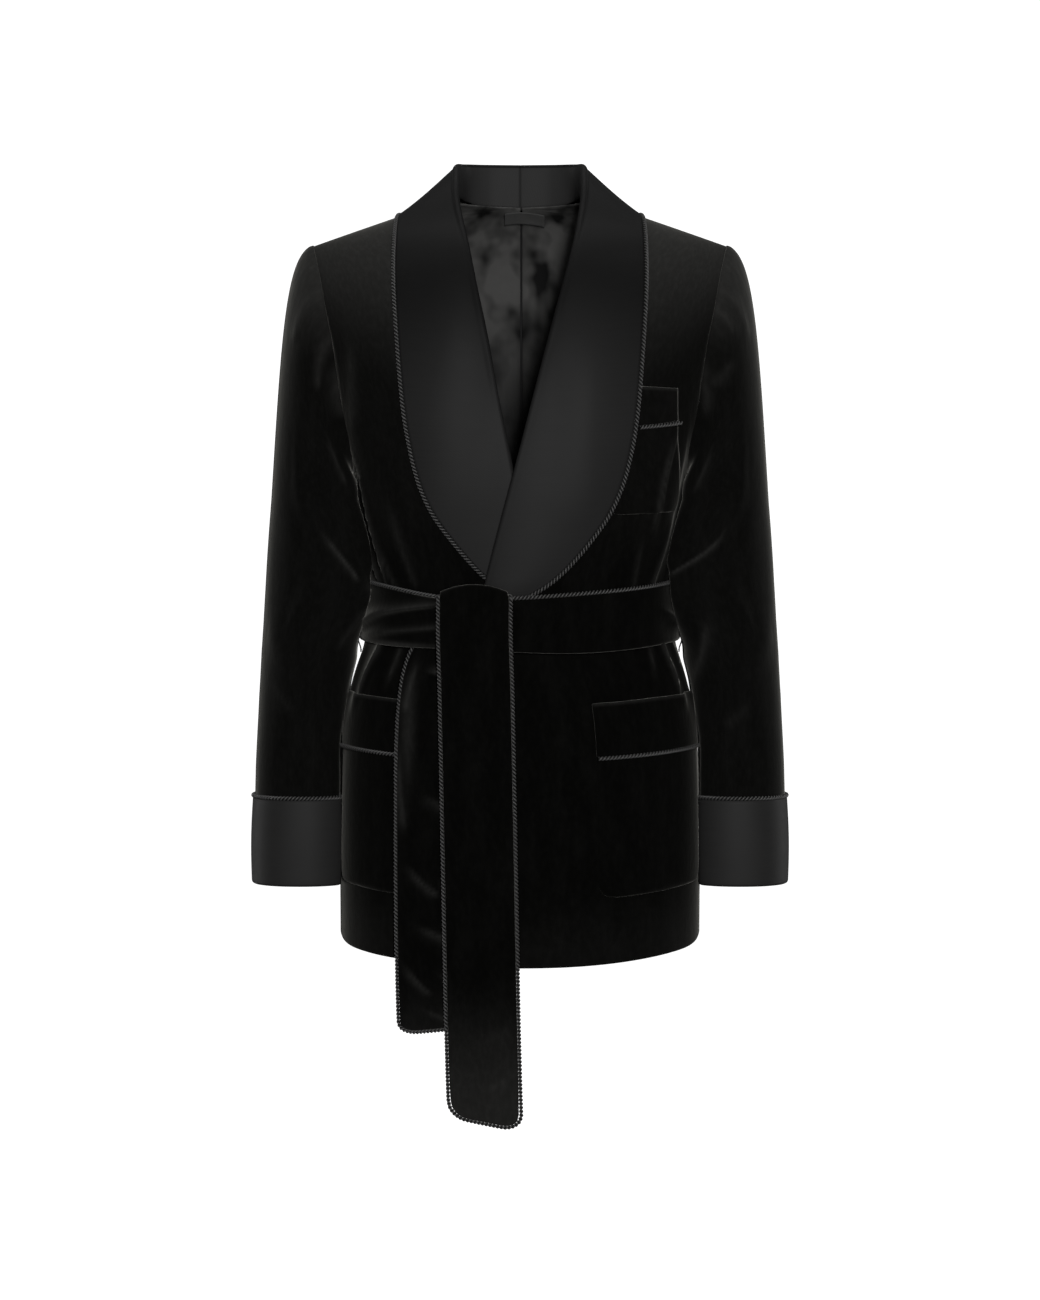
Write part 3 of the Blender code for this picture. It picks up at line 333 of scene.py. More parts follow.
# Shawl collar, one row per section from centre back down the wearer's left lapel: x, y and z of the roll line
# in mm (a row with no y lies on the front at its own roll line), the way the fold looks in plan (180 back,
# 90 side, 0 front), the stand's depth and the outer edge's x in mm, and the edge's level, which runs down the
# back past the ridge.
COLLAR_SECTIONS = (
    (0, 70, 55, 180, 46, 0, 16.05),
    (34, 66.5, 55, 160, 44, 43, 15.95),
    (56, 52, 54, 125, 38, 84, 15.45),
    (63.5, 20, 50, 98, 34, 111, 14.6),
    (63, -12, 34, 72, 26, 118, 13.75),
    (60, -42, 5, 45, 17, 120, 12.85),
    (None, None, -45, 24, 10, 120, 11.8),
    (None, None, -105, 14, 10, 118.5, 10.75),
    (None, None, -165, 9, 11, 113.5, 9.7),
    (None, None, -225, 5, 10, 105.5, 8.7),
    (None, None, -280, 2, 9, 91, 7.75),
    (None, None, -325, 0, 8, 69, 6.95),
    (None, None, -362, -2, 7, 32, 6.25),
    (None, None, -395, -4, 6, -18, 5.5),
)
FOLD_R = 0.0038
LAPEL_OUT = DRAPE + SATIN
LAPEL_BULGE = 0.0030
# Painted light on the satin: the stand painted evenly bright, the upper lapel painted in shade and lighter
# towards its foot
STAND_PAINTED_LIGHT = 0.82
LAPEL_PAINTED_LIGHT = (0.18, 0.34)
LAPEL_SHADE_Z = -0.07
LAPEL_SHADE_RUN = 0.14
LAPEL_COVER = 0.12
LAPEL_COVER_RUN = 0.13
LAPEL_COVER_SHARE = 0.9
LAPEL_FULL_WIDTH = 0.06
FALL_BULGE = 0.002
# Even painted light on the cuffs' satin
CUFF_PAINTED_LIGHT = 0.64
COLLAR_ON_BODY = 5.2
COLLAR_ON_BODY_RUN = 1.3
COLLAR_WAVE = 0.0007
CORD_SEAT = 0.0001
CORD_LIFT = 0.0006
COLLAR_CORD_GAP = 0.0009
POCKET_LIFT = 0.0034
POCKET_LIFT_Z = -0.228
POCKET_LIFT_RUN = 0.090
POCKET_LIFT_X = 0.03
POCKET_LIFT_X_RUN = 0.04

# Pockets, one row each: side, x of its two sides, low, band and top level, slant of the band's low edge in
# levels, where its cord starts, and how many levels the cord lies below the band
POCKET_COLUMNS = ("side", "inner_x", "outer_x", "low", "band", "top", "slant", "cord_x", "cord_drop")
POCKET_ROWS = {
    "left": (1, 0.0748, 0.1742, 0.60, 1.93, 2.80, 0.0, 0.0748, 0.022),
    "right": (-1, 0.0748, 0.1742, 0.60, 1.93, 2.80, 0.0, 0.0748, 0.022),
    "breast": (1, 0.085, 0.153, 7.30, 8.77, 9.37, 0.14, 0.1140, 0.040),
}
POCKETS = {word: dict(zip(POCKET_COLUMNS, row)) for word, row in POCKET_ROWS.items()}
PATCH_PUFF = 0.0014
PATCH_CORNER = 0.014
BAND_PUFF = 0.0008
BAND_GAP = PATCH_GAP + PATCH + CLEAR
BAND_TURN = 0.03
FRONT_SPAN = 0.25
POCKET_CORD_POINTS = 160

# Belt
BELT_TOP_Z = -0.366
BELT_END_Z = -0.424
KNOT_ANGLE = -0.30
BELT_DRAWN = 0.004
BELT_OUT = 0.0014
BELT_FRONT_OUT = 0.0040
BELT_KNOT_OUT = 0.0050
BELT_SWELL = 0.0015
BELT_SLACK = 0.0005
# Painted light on the sash: highlights on its crease crests and sheen along its low edge on the wearer's
# right
BELT_CREST_HIGHLIGHT = 0.24
BELT_EDGE_SHEEN = 0.34
BELT_EDGE_SHEEN_ANGLE = -0.9
BELT_EDGE_SHEEN_REACH = 0.35
BELT_EDGE_SHEEN_SHARE = 0.05
BELT_DRAWN_REACH = 0.45
BELT_KNOT_REACH = 0.33
BELT_FRONT_COSINE = 0.35
BELT_FRONT_RUN = 0.5
BELT_CORD_POINTS = 420
BELT_CORD_IN = 0.0008
BELT_CORD_ENDS = (0.225, 0.160)
KNOT_MIDDLE = (-0.045, -0.406)
KNOT_HALF = (0.030, 0.027)
KNOT_OUT = (0.0156, 0.0164)
KNOT_SWELL = 0.0050
CARRIER_R = 0.0009
CARRIER_LAY = 0.003
CARRIER_ANGLE = 1.515
CARRIER_Z = (-0.352, -0.438)
CARRIER_BEND = 0.014
CARRIER_GAP = 0.0010
CARRIER_OVER = 0.0026
CARRIER_POINTS = 60
LABEL_X = (-0.0165, 0.0260)
LABEL_LEVELS = (LINING_NECK - 0.46, LINING_NECK - 0.06)
LABEL_DEPTH = VELVET + DRAPE + LINING + CLEAR + 0.0036
LABEL = 0.0008
HEM_HOLD_Z = -0.720
BELT_CREASES = (
    (-100, -12, -14, 50, -11, 8.5, 3.6, 8),
    (-84, 0, -16, 23, -1, 7, 3.6, 4),
    (54, 38, 92, 11, 2, 3.6, 7, 5.6),
    (62, 21, 100, 6, 1, 3, 6, 4.2),
    (66, 54, 112, 30, 2, 3.4, 6.5, 4.6),
    (118, 18, 176, 26, 2, 5, 9, 2.7),
    (130, 42, 166, 36, 1, 5, 8, 2.2),
    (-172, 24, -116, 16, 2, 5, 9, 2.7),
    (-160, 40, -120, 46, 1, 5, 8, 1.6),
)

# Hanging tails of the belt, one row per section in mm: height, x of the middle, distance off the front, width
FRONT_TAIL = (
    (-400, -45, 6.6, 44),
    (-386, -45, 6.6, 48),
    (-376, -44.8, 8.2, 56),
    (-369, -44.5, 14, 63),
    (-370, -44.2, 20, 64),
    (-377, -44, 23.6, 65),
    (-392, -44, 24.8, 65),
    (-420, -44, 24.6, 65),
    (-470, -42.5, 22.2, 65),
    (-540, -41, 20, 65),
    (-620, -39.5, 19, 65),
    (-700, -38, 19, 65),
    (-780, -36.5, 19, 65),
    (-840, -35, 19, 65),
    (-870, -34.2, 19, 65),
    (-885, -33.8, 19, 65),
)
UNDER_TAIL = (
    (-408, -72, 2.6, 42),
    (-422, -74, 2.8, 48),
    (-440, -78.5, 4.8, 57),
    (-465, -82, 7.2, 63),
    (-500, -84.2, 9.4, 65),
    (-550, -85.5, 10.4, 65),
    (-610, -85.8, 10.4, 65),
    (-670, -85.6, 10.4, 65),
    (-730, -85, 10.4, 65),
    (-765, -84.2, 10.4, 65),
    (-785, -83.6, 10.4, 65),
    (-796, -83.2, 10.4, 65),
)
# Tail creases, with hundredths of the tail's width in place of degrees
FRONT_TAIL_CREASES = (
    (-40, -820, 48, -790, 3, 8, 14, 0.7),
    (-30, -862, 46, -838, 3, 7, 11, 0.7),
)
UNDER_TAIL_CREASES = (
    (-38, -450, 54, -457, 0, 10, 2.6, 5),
    (-20, -420, 34, -446, 2, 2.4, 3, 3),
    (8, -416, 40, -440, 0, 1.8, 3, 3),
    (-30, -424, -44, -500, 0, 3, 6, 3.4),
    (-50, -490, -36, -620, 3, 4, 9, 3),
    (-30, -560, 50, -586, 6, 5, 12, 2),
    (-50, -625, 22, -672, 5, 3.4, 9, 3),
    (4, -640, 52, -690, 2, 4, 7, 1.8),
    (-44, -690, 50, -712, 4, 4, 10, 2.6),
    (-52, -722, 6, -768, 5, 3, 8, 3),
    (-6, -738, 50, -752, 2, 3, 6, 1.6),
    (-30, -772, 40, -790, 3, 3, 6, 2),
)
TAIL_SHARE = 0.00065
# Painted light on the tails: highlights on crease crests, a highlight band down the under tail's side towards
# the wearer's right, and sheen towards their ends
TAIL_CREASE_HIGHLIGHT = 0.30
TAIL_SIDE_HIGHLIGHT = 0.14
TAIL_END_SHEEN = 0.17
TAIL_WAVE = 0.0005
TAIL_ROOF = 0.007
TAIL_ROOF_AT = 3.5
TAIL_ROOF_REACH = 1.6
TAIL_PULL = 3
TAIL_HANG_Z = -0.395
TAIL_HANG_RUN = 0.03
TAIL_HIGHLIGHT_SHARE = -0.36
TAIL_HIGHLIGHT_WIDTH = 0.10
TAIL_HIGHLIGHT_Z = -0.51
TAIL_HIGHLIGHT_RUN = 0.05
TAIL_END_SHEEN_Z = -0.74
TAIL_END_SHEEN_RUN = 0.14
TAIL_CORD_SEAT = 0.0004
# Each tail: its word, sections and creases, the heights of its end's two corners and their rounding, the
# section from which it hangs free, and the row where its cord starts
TAILS = (
    ("front", FRONT_TAIL, FRONT_TAIL_CREASES, (-0.878, -0.890), 0.012, 4, 62),
    ("under", UNDER_TAIL, UNDER_TAIL_CREASES, (-0.801, -0.792), 0.008, 0, 8),
)


# Curves and fields


def spline(rows, level, even_end=True):
    """Catmull-Rom curve through rows at whole-number levels; past its end it mirrors evenly or oddly."""
    level = np.asarray(level, float)
    last = len(rows) - 1
    i = np.clip(np.floor(level).astype(int), 0, last - 1)
    t = level - i
    after = rows[last - 1] if even_end else 2 * rows[last] - rows[last - 1]
    padded = np.concatenate([[2 * rows[0] - rows[1]], rows, [after]])
    p0, p1, p2, p3 = padded[i], padded[i + 1], padded[i + 2], padded[i + 3]
    return p1 + 0.5 * t * (p2 - p0 + t * (2 * p0 - 5 * p1 + 4 * p2 - p3 + t * (3 * (p1 - p2) + p3 - p0)))


def ease(t):
    """Smooth step: three t squared less two t cubed, held between 0 and 1."""
    t = np.clip(t, 0.0, 1.0)
    return t * t * (3 - 2 * t)


def power(value, exponent):
    """Signed power: the sign of the value times its size to the exponent."""
    return np.sign(value) * np.abs(value) ** exponent


def soft_abs(x):
    """Absolute value rounded off near zero: root of x squared plus a small length squared."""
    return np.sqrt(x * x + NECK_SOFT ** 2)


def unit(vector):
    """Vectors divided by their lengths."""
    return vector / np.linalg.norm(vector, axis=-1, keepdims=True)


def square_to(vector, along):
    """Unit vectors of what is left of each vector square to a line's own direction."""
    return unit(vector - along * np.sum(vector * along, -1, keepdims=True))


def bell(t):
    """Bell curve: e to the minus t squared."""
    return np.exp(-(t ** 2))


def turned(angle):
    """Angle brought between minus and plus half a turn."""
    return (angle + math.pi) % (2 * math.pi) - math.pi


def running(points, axis):
    """Running length from 0 along a curve's points, or along a grid's columns (axis 0) or rows (axis 1)."""
    steps = np.linalg.norm(np.diff(points, axis=axis), axis=-1)
    return np.concatenate([np.zeros_like(np.take(steps, [0], axis)), np.cumsum(steps, axis)], axis)


def creases(table, across, down, degree):
    """Sum of ridges, and how near the cloth is to a crest, 0 to 1.

    A ridge is its height times a bell of the distance to a bowed line, tapered to its start and eased to its
    end. across is turned to metres by degree; the bell is near wide on one side of the line and far on the
    other. The crest is the highest of the cubed bells, each in the share of its ridge's height to a full one.
    """
    total = np.zeros(np.broadcast(across, down).shape)
    crest = np.zeros(total.shape)
    for angle_from, down_from, angle_to, down_to, bow, near, far, height in np.array(table) * CREASE_UNITS:
        run_x = (angle_to - angle_from) * degree
        run_y = down_to - down_from
        length = math.hypot(run_x, run_y)
        x = (across - angle_from) * degree
        y = down - down_from
        along = (x * run_x + y * run_y) / length ** 2
        off = (x * run_y - y * run_x) / length - bow * np.sin(math.pi * np.clip(along, 0, 1))
        ends = ease(along / 0.5) * ease((1 - along) / 0.2)
        ridge = ends * np.exp(-(np.abs(off / np.where(off < 0, near, far)) ** 1.5))
        total += height * ridge
        crest = np.maximum(crest, min(1.0, height / CREST_FULL) * ridge ** 3)
    return total, crest


def ripple(a, b, seed):
    """Gentle unevenness between -1 and 1: three sine waves with unlike slants and lengths, from a seed."""
    first = np.sin(37.0 * a + 21.0 * b + seed)
    second = np.sin(-23.0 * a + 46.0 * b + 2.1 * seed)
    third = np.sin(71.0 * a - 33.0 * b + 3.7 * seed)
    return (first + second + 0.6 * third) / 2.6


# Torso


def ring_height(level):
    """Height of the ring at the neck point's x."""
    return spline(BODY["z"], level)


def torso_fold(angle, z):
    """Sum of the large folds: height times a sine power along each and a bell of the angle across it."""
    degrees = np.degrees(turned(angle))
    total = np.zeros(np.broadcast(degrees, z).shape)
    for angle_top, z_top, angle_low, z_low, width, height in TORSO_FOLDS:
        along = np.clip((z - z_top) / (z_low - z_top), 0, 1)
        centre = angle_top + (angle_low - angle_top) * along
        total += height * np.sin(math.pi * along) ** 1.5 * bell((degrees - centre) / width)
    return total


def torso_crease(angle, z):
    """Height and crest of the finer creases of the torso at an angle and a ring height."""
    return creases(TORSO_CREASES, np.degrees(turned(angle)), z, TORSO_DEGREE)


def ring_drop(x, cosine, level):
    """How far a ring lies below its height: its dip at centre front and its fall with the shoulder.

    The dip is eased by the squared cosine, and the fall is its slope times the distance out from the neck.
    """
    dip = spline(BODY["dip"], level) * np.maximum(cosine, 0) ** 2
    return dip + spline(BODY["slope"], level) * (soft_abs(x) - soft_abs(NECK_X))


def body(angle, level, folds=1.0):
    """Torso surface: a superellipse ring at each level, pushed out by the folds and creases.

    Past the ridge, level runs down the other side of the shoulder. A ring lies lower by its drop, and the hem
    rises at the sides by a bell of the cosine.
    """
    angle, level = np.broadcast_arrays(np.asarray(angle, float), np.asarray(level, float))
    over = level > RIDGE
    angle = np.where(over, math.pi - angle, angle)
    level = np.where(over, 2 * RIDGE - level, level)
    sine, cosine = np.sin(angle), np.cos(angle)
    width = spline(BODY["half_width"], level)
    front = spline(BODY["front"], level, False)
    back = spline(BODY["back"], level, False)
    z = ring_height(level)
    corner = HEM_CORNER * bell(cosine / HEM_CORNER_REACH) * np.maximum(1 - level / HEM_CORNER_LEVELS, 0) ** 2
    fold = 0.0
    if folds:
        fold = folds * (torso_fold(angle, z) + torso_crease(angle, z)[0])
    x = width * power(sine, RING_POWER) + fold * sine
    y = -np.where(cosine > 0, front, back) * power(cosine, RING_POWER) - fold * cosine
    return np.stack([x, y, z + corner - ring_drop(x, cosine, level)], -1)


def torso(angle, level, folds=1.0):
    """Torso points and their outward unit normals, by central differences."""
    across = body(angle + ANGLE_STEP, level, folds) - body(angle - ANGLE_STEP, level, folds)
    up = body(angle, level + LEVEL_STEP, folds) - body(angle, level - LEVEL_STEP, folds)
    return body(angle, level, folds), unit(np.cross(across, up))


def lifted(angle, level, out, folds=1.0):
    """Torso points moved out along the normal."""
    point, normal = torso(angle, level, folds)
    return point + np.asarray(out)[..., None] * normal


def angle_at(x, level):
    """Angle on the front half where the ring reaches x: arcsine of its share of the width, unpowered."""
    level = np.where(np.asarray(level) > RIDGE, 2 * RIDGE - np.asarray(level), level)
    part = np.clip(np.abs(x) / spline(BODY["half_width"], level), 0, 1)
    return np.sign(x) * np.arcsin(part ** (1 / RING_POWER))


def level_at(x, z):
    """Level of the front surface at x and height z, by halving."""
    low = np.zeros(np.broadcast(x, z).shape)
    high = np.full(low.shape, RIDGE - 0.01)
    for _ in range(HALVINGS):
        middle = (low + high) / 2
        below = ring_height(middle) - ring_drop(x, np.cos(angle_at(x, middle)), middle) < z
        low = np.where(below, middle, low)
        high = np.where(below, high, middle)
    return (low + high) / 2


def belt_level(z):
    """Level of a ring height, straight between the rings."""
    return np.interp(z, BODY["z"], np.arange(len(BODY["z"])))


def roll_x(z, side):
    """Roll line, then front edge, of the wearer's left (+1) or right (-1) front.

    A slant held at an upright limit, drawn out at the neck by a smooth step.
    """
    x, slope, at_z, limit, neck = ROLL[side]
    line = side * np.maximum(side * (x + slope * (z - at_z)), side * limit)
    return line + neck * ease((z - ROLL_NECK_Z) / ROLL_NECK_RUN)


def front_out(x, z, side):
    """How far a front lies from the torso: the under front eases down below the upper one's edge."""
    if side > 0:
        return np.zeros(np.broadcast(x, z).shape)
    return -OVERLAP_INSET * ease((x - roll_x(z, 1) + OVERLAP_START) / OVERLAP_RUN)


def on_front(x, z, out, side, folds=1.0):
    """Point lying a distance off a front at x and height z."""
    level = level_at(x, z)
    return lifted(angle_at(x, level), level, out + front_out(x, z, side), folds)


def side_angle(level):
    """Angle of the side seam and, above the armpit, of the armhole: a quarter ellipse scooped inwards."""
    rise = np.clip((level - ARMPIT) / (RIDGE - ARMPIT), 0, 1)
    scoop = np.sqrt(1 - (1 - np.minimum(1, rise / ARMHOLE_SCOOP_SHARE)) ** 2)
    turn = ARMHOLE_TOP_TURN * ease((rise - ARMHOLE_TURN_FROM) / (1 - ARMHOLE_TURN_FROM))
    return np.radians(90 - ARMHOLE_SCOOP * scoop + turn)


def front_limits(level, side):
    """Angles of a front's own edge and of its side seam or armhole."""
    z = ring_height(level)
    edge_x = roll_x(z, side) + side * SET_BACK * (1 + ease((z - SET_BACK_Z) / SET_BACK_RUN))
    return angle_at(edge_x, level), side * (side_angle(level) - SEAM_ANGLE)


def crowded(count):
    """Shares from 0 to 1, closer together at both ends: t less a part of its sine."""
    t = np.linspace(0, 1, count)
    return t - CROWDING * np.sin(2 * math.pi * t)


def even_levels(count, first, last, angle):
    """Levels spaced along the cloth itself: equal steps of arc length down one line of the torso."""
    fine = np.linspace(first, last, FINE_LEVELS)
    run = running(body(np.full(FINE_LEVELS, angle), fine, 0.0), 0)
    return np.interp(run[-1] * crowded(count), run, fine)


def seam_dip(points, sewn):
    """Depth of the valley along sewn edges: a depth times a bell of the distance to each, along the grid.

    sewn gives the depth by the word for each edge: first and last column, first and last row.
    """
    column, row = running(points, 1), running(points, 0)
    distance = {
        "first_column": column,
        "last_column": column[:, -1:] - column,
        "first_row": row,
        "last_row": row[-1:] - row,
    }
    return sum(depth * bell(distance[edge] / SEAM_REACH) for edge, depth in sewn.items())


def front_panel(side):
    """Outer and inner points of a front and its painted light, from its own edge to the side seam and
    armhole.

    Its columns run straight to the side seam's angle, and bend to the armhole by the cubed share across.
    """
    levels = even_levels(FRONT_GRID[0], 0.0, TOP_LEVEL, side * PANEL_LINE)
    edge, seam = front_limits(levels, side)
    upright = side * (math.pi / 2 - SEAM_ANGLE)
    share = crowded(FRONT_GRID[1])
    angle = edge[:, None] + (upright - edge)[:, None] * share + (seam - upright)[:, None] * share ** 3
    grid = np.broadcast_to(levels[:, None], angle.shape)
    point, normal = torso(angle, grid)
    out = front_out(point[..., 0], point[..., 2], side)
    dip = seam_dip(point, {"last_column": SEAM_DIP, "last_row": SEAM_DIP})
    outer = point + (out - dip)[..., None] * normal
    inner = point + (out - VELVET)[..., None] * normal
    return outer, inner, velvet_painted_light(angle, grid)


def back_panel(side, out, thickness, levels, columns, folds, seam_x, neck_level):
    """Outer and inner points of a back half and its painted light, from side seam to centre seam and neck
    curve.
    """
    rise = np.clip((levels - neck_level) / (RIDGE - neck_level), 0, 1)
    neck = angle_at(NECK_X * np.sqrt(rise), levels)
    inner_angle = math.pi - np.maximum(neck, angle_at(SEAM / 2 + side * seam_x, levels))
    outer_angle = math.pi - side_angle(levels) + SEAM_ANGLE
    share = crowded(columns)
    scoop = (outer_angle - math.pi / 2)[:, None] * (1 - share) ** 3
    angle = side * (math.pi / 2 + (inner_angle - math.pi / 2)[:, None] * share + scoop)
    grid = np.broadcast_to(levels[:, None], angle.shape)
    point, normal = torso(angle, grid, folds)
    sewn = dict.fromkeys(("first_column", "last_column", "last_row"), SEAM_DIP * folds)
    outer = point + (out - seam_dip(point, sewn))[..., None] * normal
    inner = point + (out - thickness) * normal
    return outer, inner, velvet_painted_light(angle, grid)


def velvet_painted_light(angle, level):
    """Painted light on the velvet, 0 to 1: painted highlights on crease crests, painted sheen on the
    shoulders and near the hem, and the upper body painted a little lighter.
    """
    z = ring_height(level)
    # painted highlight on crease crests, painted sheen on shoulder tops, a lighter upper body and painted
    # sheen near the hem
    ridge = CREASE_HIGHLIGHT * torso_crease(angle, z)[1]
    outward = np.maximum(np.abs(np.sin(angle)) - SHOULDER_SHEEN_SINE, -0.1)
    shoulder = SHOULDER_SHEEN * ease((z - SHOULDER_SHEEN_Z - SHOULDER_SHEEN_RISE * outward) / SHOULDER_SHEEN_RUN)
    chest = UPPER_PAINTED_LIGHT * ease((z - CHEST_LIGHT_Z) / CHEST_LIGHT_RUN)
    hem = HEM_SHEEN * ease((HEM_SHEEN_Z - z) / HEM_SHEEN_RUN)
    return np.clip(ridge + shoulder + chest + hem, 0, 1)


# Sleeves and cuffs


def armhole_place(turn):
    """Torso angle and level of the left armhole edge at the sleeve's own angle.

    0 is the shoulder tip, 90 the front, 180 the armpit and 270 the back.
    """
    level = RIDGE - (RIDGE - ARMPIT) * np.abs(np.sin(turn / 2))
    angle = np.minimum(side_angle(level), math.pi / 2)
    return np.where(np.sin(turn) >= 0, angle, math.pi - angle), level


def armhole(turn):
    """Left armhole edge, the body's normal there, and the way into the body's cloth, square to the edge."""
    point, normal = torso(*armhole_place(turn))
    along = body(*armhole_place(turn + TURN_STEP)) - body(*armhole_place(turn - TURN_STEP))
    return point, normal, unit(np.cross(along, normal))


def beside_body(y, z):
    """Least x at which a sleeve is clear of the torso, the belt and the pockets."""
    level = belt_level(z)
    depth = np.where(y < 0, spline(BODY["front"], level, False), spline(BODY["back"], level, False))
    share = np.clip(np.abs(y) / depth, 0, 1) ** (1 / RING_POWER)
    angle = np.where(y < 0, np.arccos(share), math.pi - np.arccos(share))
    width = spline(BODY["half_width"], level) * np.sin(angle) ** RING_POWER
    width = width + FOLD_ROOM * np.maximum(torso_fold(angle, z), 0)
    above = ease((z - BELT_END_Z + BELT_ROOM_REACH) / ROOM_RUN)
    below = ease((BELT_TOP_Z + BELT_ROOM_REACH - z) / ROOM_RUN)
    hip = ease((HIP_Z - z) / ROOM_RUN)
    cord_line = bell((z - POCKET_CORD_Z) / POCKET_CORD_REACH)
    return width + BODY_ROOM + BELT_ROOM * above * below + HIP_ROOM * hip + POCKET_CORD_ROOM * cord_line


def arm_ring(turn, z):
    """Arm tube at a height: an oval between its four limits."""
    row = np.interp(-z, -SLEEVE["z"], np.arange(len(SLEEVE["z"])))
    outer, inner, front, back = (spline(SLEEVE[key], row) for key in SLEEVE_COLUMNS[1:])
    x = (outer + inner) / 2 + (outer - inner) / 2 * power(np.cos(turn), ARM_POWER)
    y = (front + back) / 2 + (front - back) / 2 * power(np.sin(turn), ARM_POWER)
    return np.stack(np.broadcast_arrays(x, y, z), -1)


def worn(turn, point):
    """Sleeve points as worn: swollen at the front inner quarter and held off the body below the armpit.

    The swell is the sine of twice the angle times a bell of the height at the elbow, joined to a plateau that
    runs from the armpit down to it. Held off means the rounded larger of x and the body's own x.
    """
    x, y, z = np.moveaxis(point, -1, 0)
    quarter = np.maximum(-np.sin(2 * turn), 0) * (np.sin(turn) > 0)
    elbow = bell((z - ELBOW_Z) / ELBOW_RUN)
    armpit = ease((ARMPIT_Z - z) / SWELL_RUN) * ease((z - SWELL_END_Z) / SWELL_RUN)
    y = y - SWELL_OUT * quarter * (elbow + armpit - elbow * armpit)
    x = x - quarter * (ELBOW_IN * elbow + ARMPIT_IN * armpit * (1 - elbow))
    least = beside_body(y, z)
    held = (x + least + np.sqrt((x - least) ** 2 + HOLD_SOFT ** 2)) / 2
    return np.stack([x + (held - x) * ease((HOLD_Z - z) / HOLD_RUN), y, z], -1)


def sleeve_surface(turn, v):
    """Left sleeve: a Bezier curve from the armhole into the arm tube up to v of CAP_SHARE, then the tube.

    Its first edge is tucked into the body's cloth, lapped over it at the shoulder and sunk into it at the
    armpit. A column of the grid has one turn all the way down, so the curve's ends are worked out once.
    """
    turn, v = np.broadcast_arrays(np.asarray(turn, float), np.asarray(v, float))
    column = turn[:1]
    start, normal, inward = armhole(column)
    join = arm_ring(column, np.full(column.shape, SLEEVE_JOIN_Z))
    top = (1 + np.cos(column)) / 2
    lead = unit(np.stack([0.35 + 0.60 * top, -0.45 * np.sin(column) * (1 - top), -0.95 + 0.62 * top], -1))
    reach = 0.010 + 0.016 * top + 0.018 * np.sin(column) ** 2
    gap = start[..., 2] - SLEEVE_JOIN_Z
    lap = SLEEVE_LAP * ease((top - 0.15) / 0.35) - SLEEVE_SINK
    first = start + SLEEVE_TUCK * inward + lap[..., None] * normal
    second = start + reach[..., None] * lead
    third = join + np.stack([-0.011 * top, np.zeros_like(gap), 0.70 * gap], -1)
    t = np.clip(v / CAP_SHARE, 0, 1)[..., None]
    cap = first * (1 - t) ** 3 + 3 * second * t * (1 - t) ** 2 + 3 * third * t * t * (1 - t) + join * t ** 3
    z = SLEEVE_JOIN_Z + (SLEEVE_END_Z - SLEEVE_JOIN_Z) * np.clip((v - CAP_SHARE) / (1 - CAP_SHARE), 0, 1)
    return worn(turn, np.where((v < CAP_SHARE)[..., None], cap, arm_ring(turn, z)))


def sleeve_fold(turn, v):
    """Large slanting folds round the elbow: height times a sine along each and a bell across it."""
    degrees = np.degrees(turn) % 360
    total = np.zeros(np.broadcast(degrees, v).shape)
    for angle_start, v_start, angle_end, v_end, width, height in SLEEVE_FOLDS:
        along = np.clip((degrees - angle_start) / (angle_end - angle_start), 0, 1)
        centre = v_start + (v_end - v_start) * along
        total += height * np.sin(math.pi * along) * bell((v - centre) / width)
    return total


def sleeve_crease(turn, z, side):
    """Height and crest of one sleeve's finer creases, counting the angle from -105 and from 255 degrees."""
    degrees = (np.degrees(turn) + 105) % 360 - 105
    height, crest = creases(SLEEVE_CREASES[side], degrees, z, SLEEVE_DEGREE)
    height_round, crest_round = creases(SLEEVE_CREASES[side], degrees + 360, z, SLEEVE_DEGREE)
    return height + height_round, np.maximum(crest, crest_round)


def sleeve(turn, v, out, side):
    """Sleeve points with folds and creases, moved out along the normal; the right sleeve is mirrored."""
    point = sleeve_surface(turn, v)
    before, after = np.maximum(v - LEVEL_STEP, 0), np.minimum(v + LEVEL_STEP, 1)
    across = sleeve_surface(turn + TURN_STEP, v) - sleeve_surface(turn - TURN_STEP, v)
    down = sleeve_surface(turn, after) - sleeve_surface(turn, before)
    normal = unit(np.cross(across, -down))
    centre = np.stack([np.cos(turn), -np.sin(turn), np.zeros_like(turn)], -1)
    normal = normal * np.sign(np.sum(normal * centre, -1, keepdims=True) + 1e-9)
    away_from_body = np.clip((np.cos(turn) + 0.92) / 0.3, 0, 1)
    crease = sleeve_crease(turn, point[..., 2], side)[0] * away_from_body
    lift = sleeve_fold(turn, v) + crease * ease(v / 0.07)
    return (point + (lift + out)[..., None] * normal) * np.array([side, 1.0, 1.0])


def sleeve_panel(first, last, columns, side):
    """Outer and inner points of one sleeve piece between two seam angles, and its painted light."""
    cap_rows = np.linspace(0, CAP_SHARE, CAP_ROWS, endpoint=False)
    down = np.concatenate([cap_rows, np.linspace(CAP_SHARE, 1, TUBE_ROWS)])
    turn, v = np.meshgrid(np.radians(first + (last - first) * crowded(columns)), down)
    outer = sleeve(turn, v, np.zeros_like(v), side)
    side_dip = SLEEVE_SEAM_SHARE * SEAM_DIP
    dip = seam_dip(outer, {"first_column": side_dip, "last_column": side_dip, "first_row": SEAM_DIP})
    z = outer[..., 2]
    # painted highlight on crease crests and painted sheen on the sleeve head, over an even painted lightening
    ridge = CREASE_HIGHLIGHT * sleeve_crease(turn, z, side)[1]
    head = SLEEVE_HEAD_SHEEN * ease((z - SLEEVE_HEAD_Z) / SLEEVE_HEAD_RUN)
    nap = np.clip(UPPER_PAINTED_LIGHT + ridge + head, 0, 1)
    return sleeve(turn, v, -dip, side), sleeve(turn, v, np.full_like(v, -VELVET), side), nap


def v_at(z):
    """Sleeve parameter at a height of the arm tube."""
    return CAP_SHARE + (1 - CAP_SHARE) * (z - SLEEVE_JOIN_Z) / (SLEEVE_END_Z - SLEEVE_JOIN_Z)


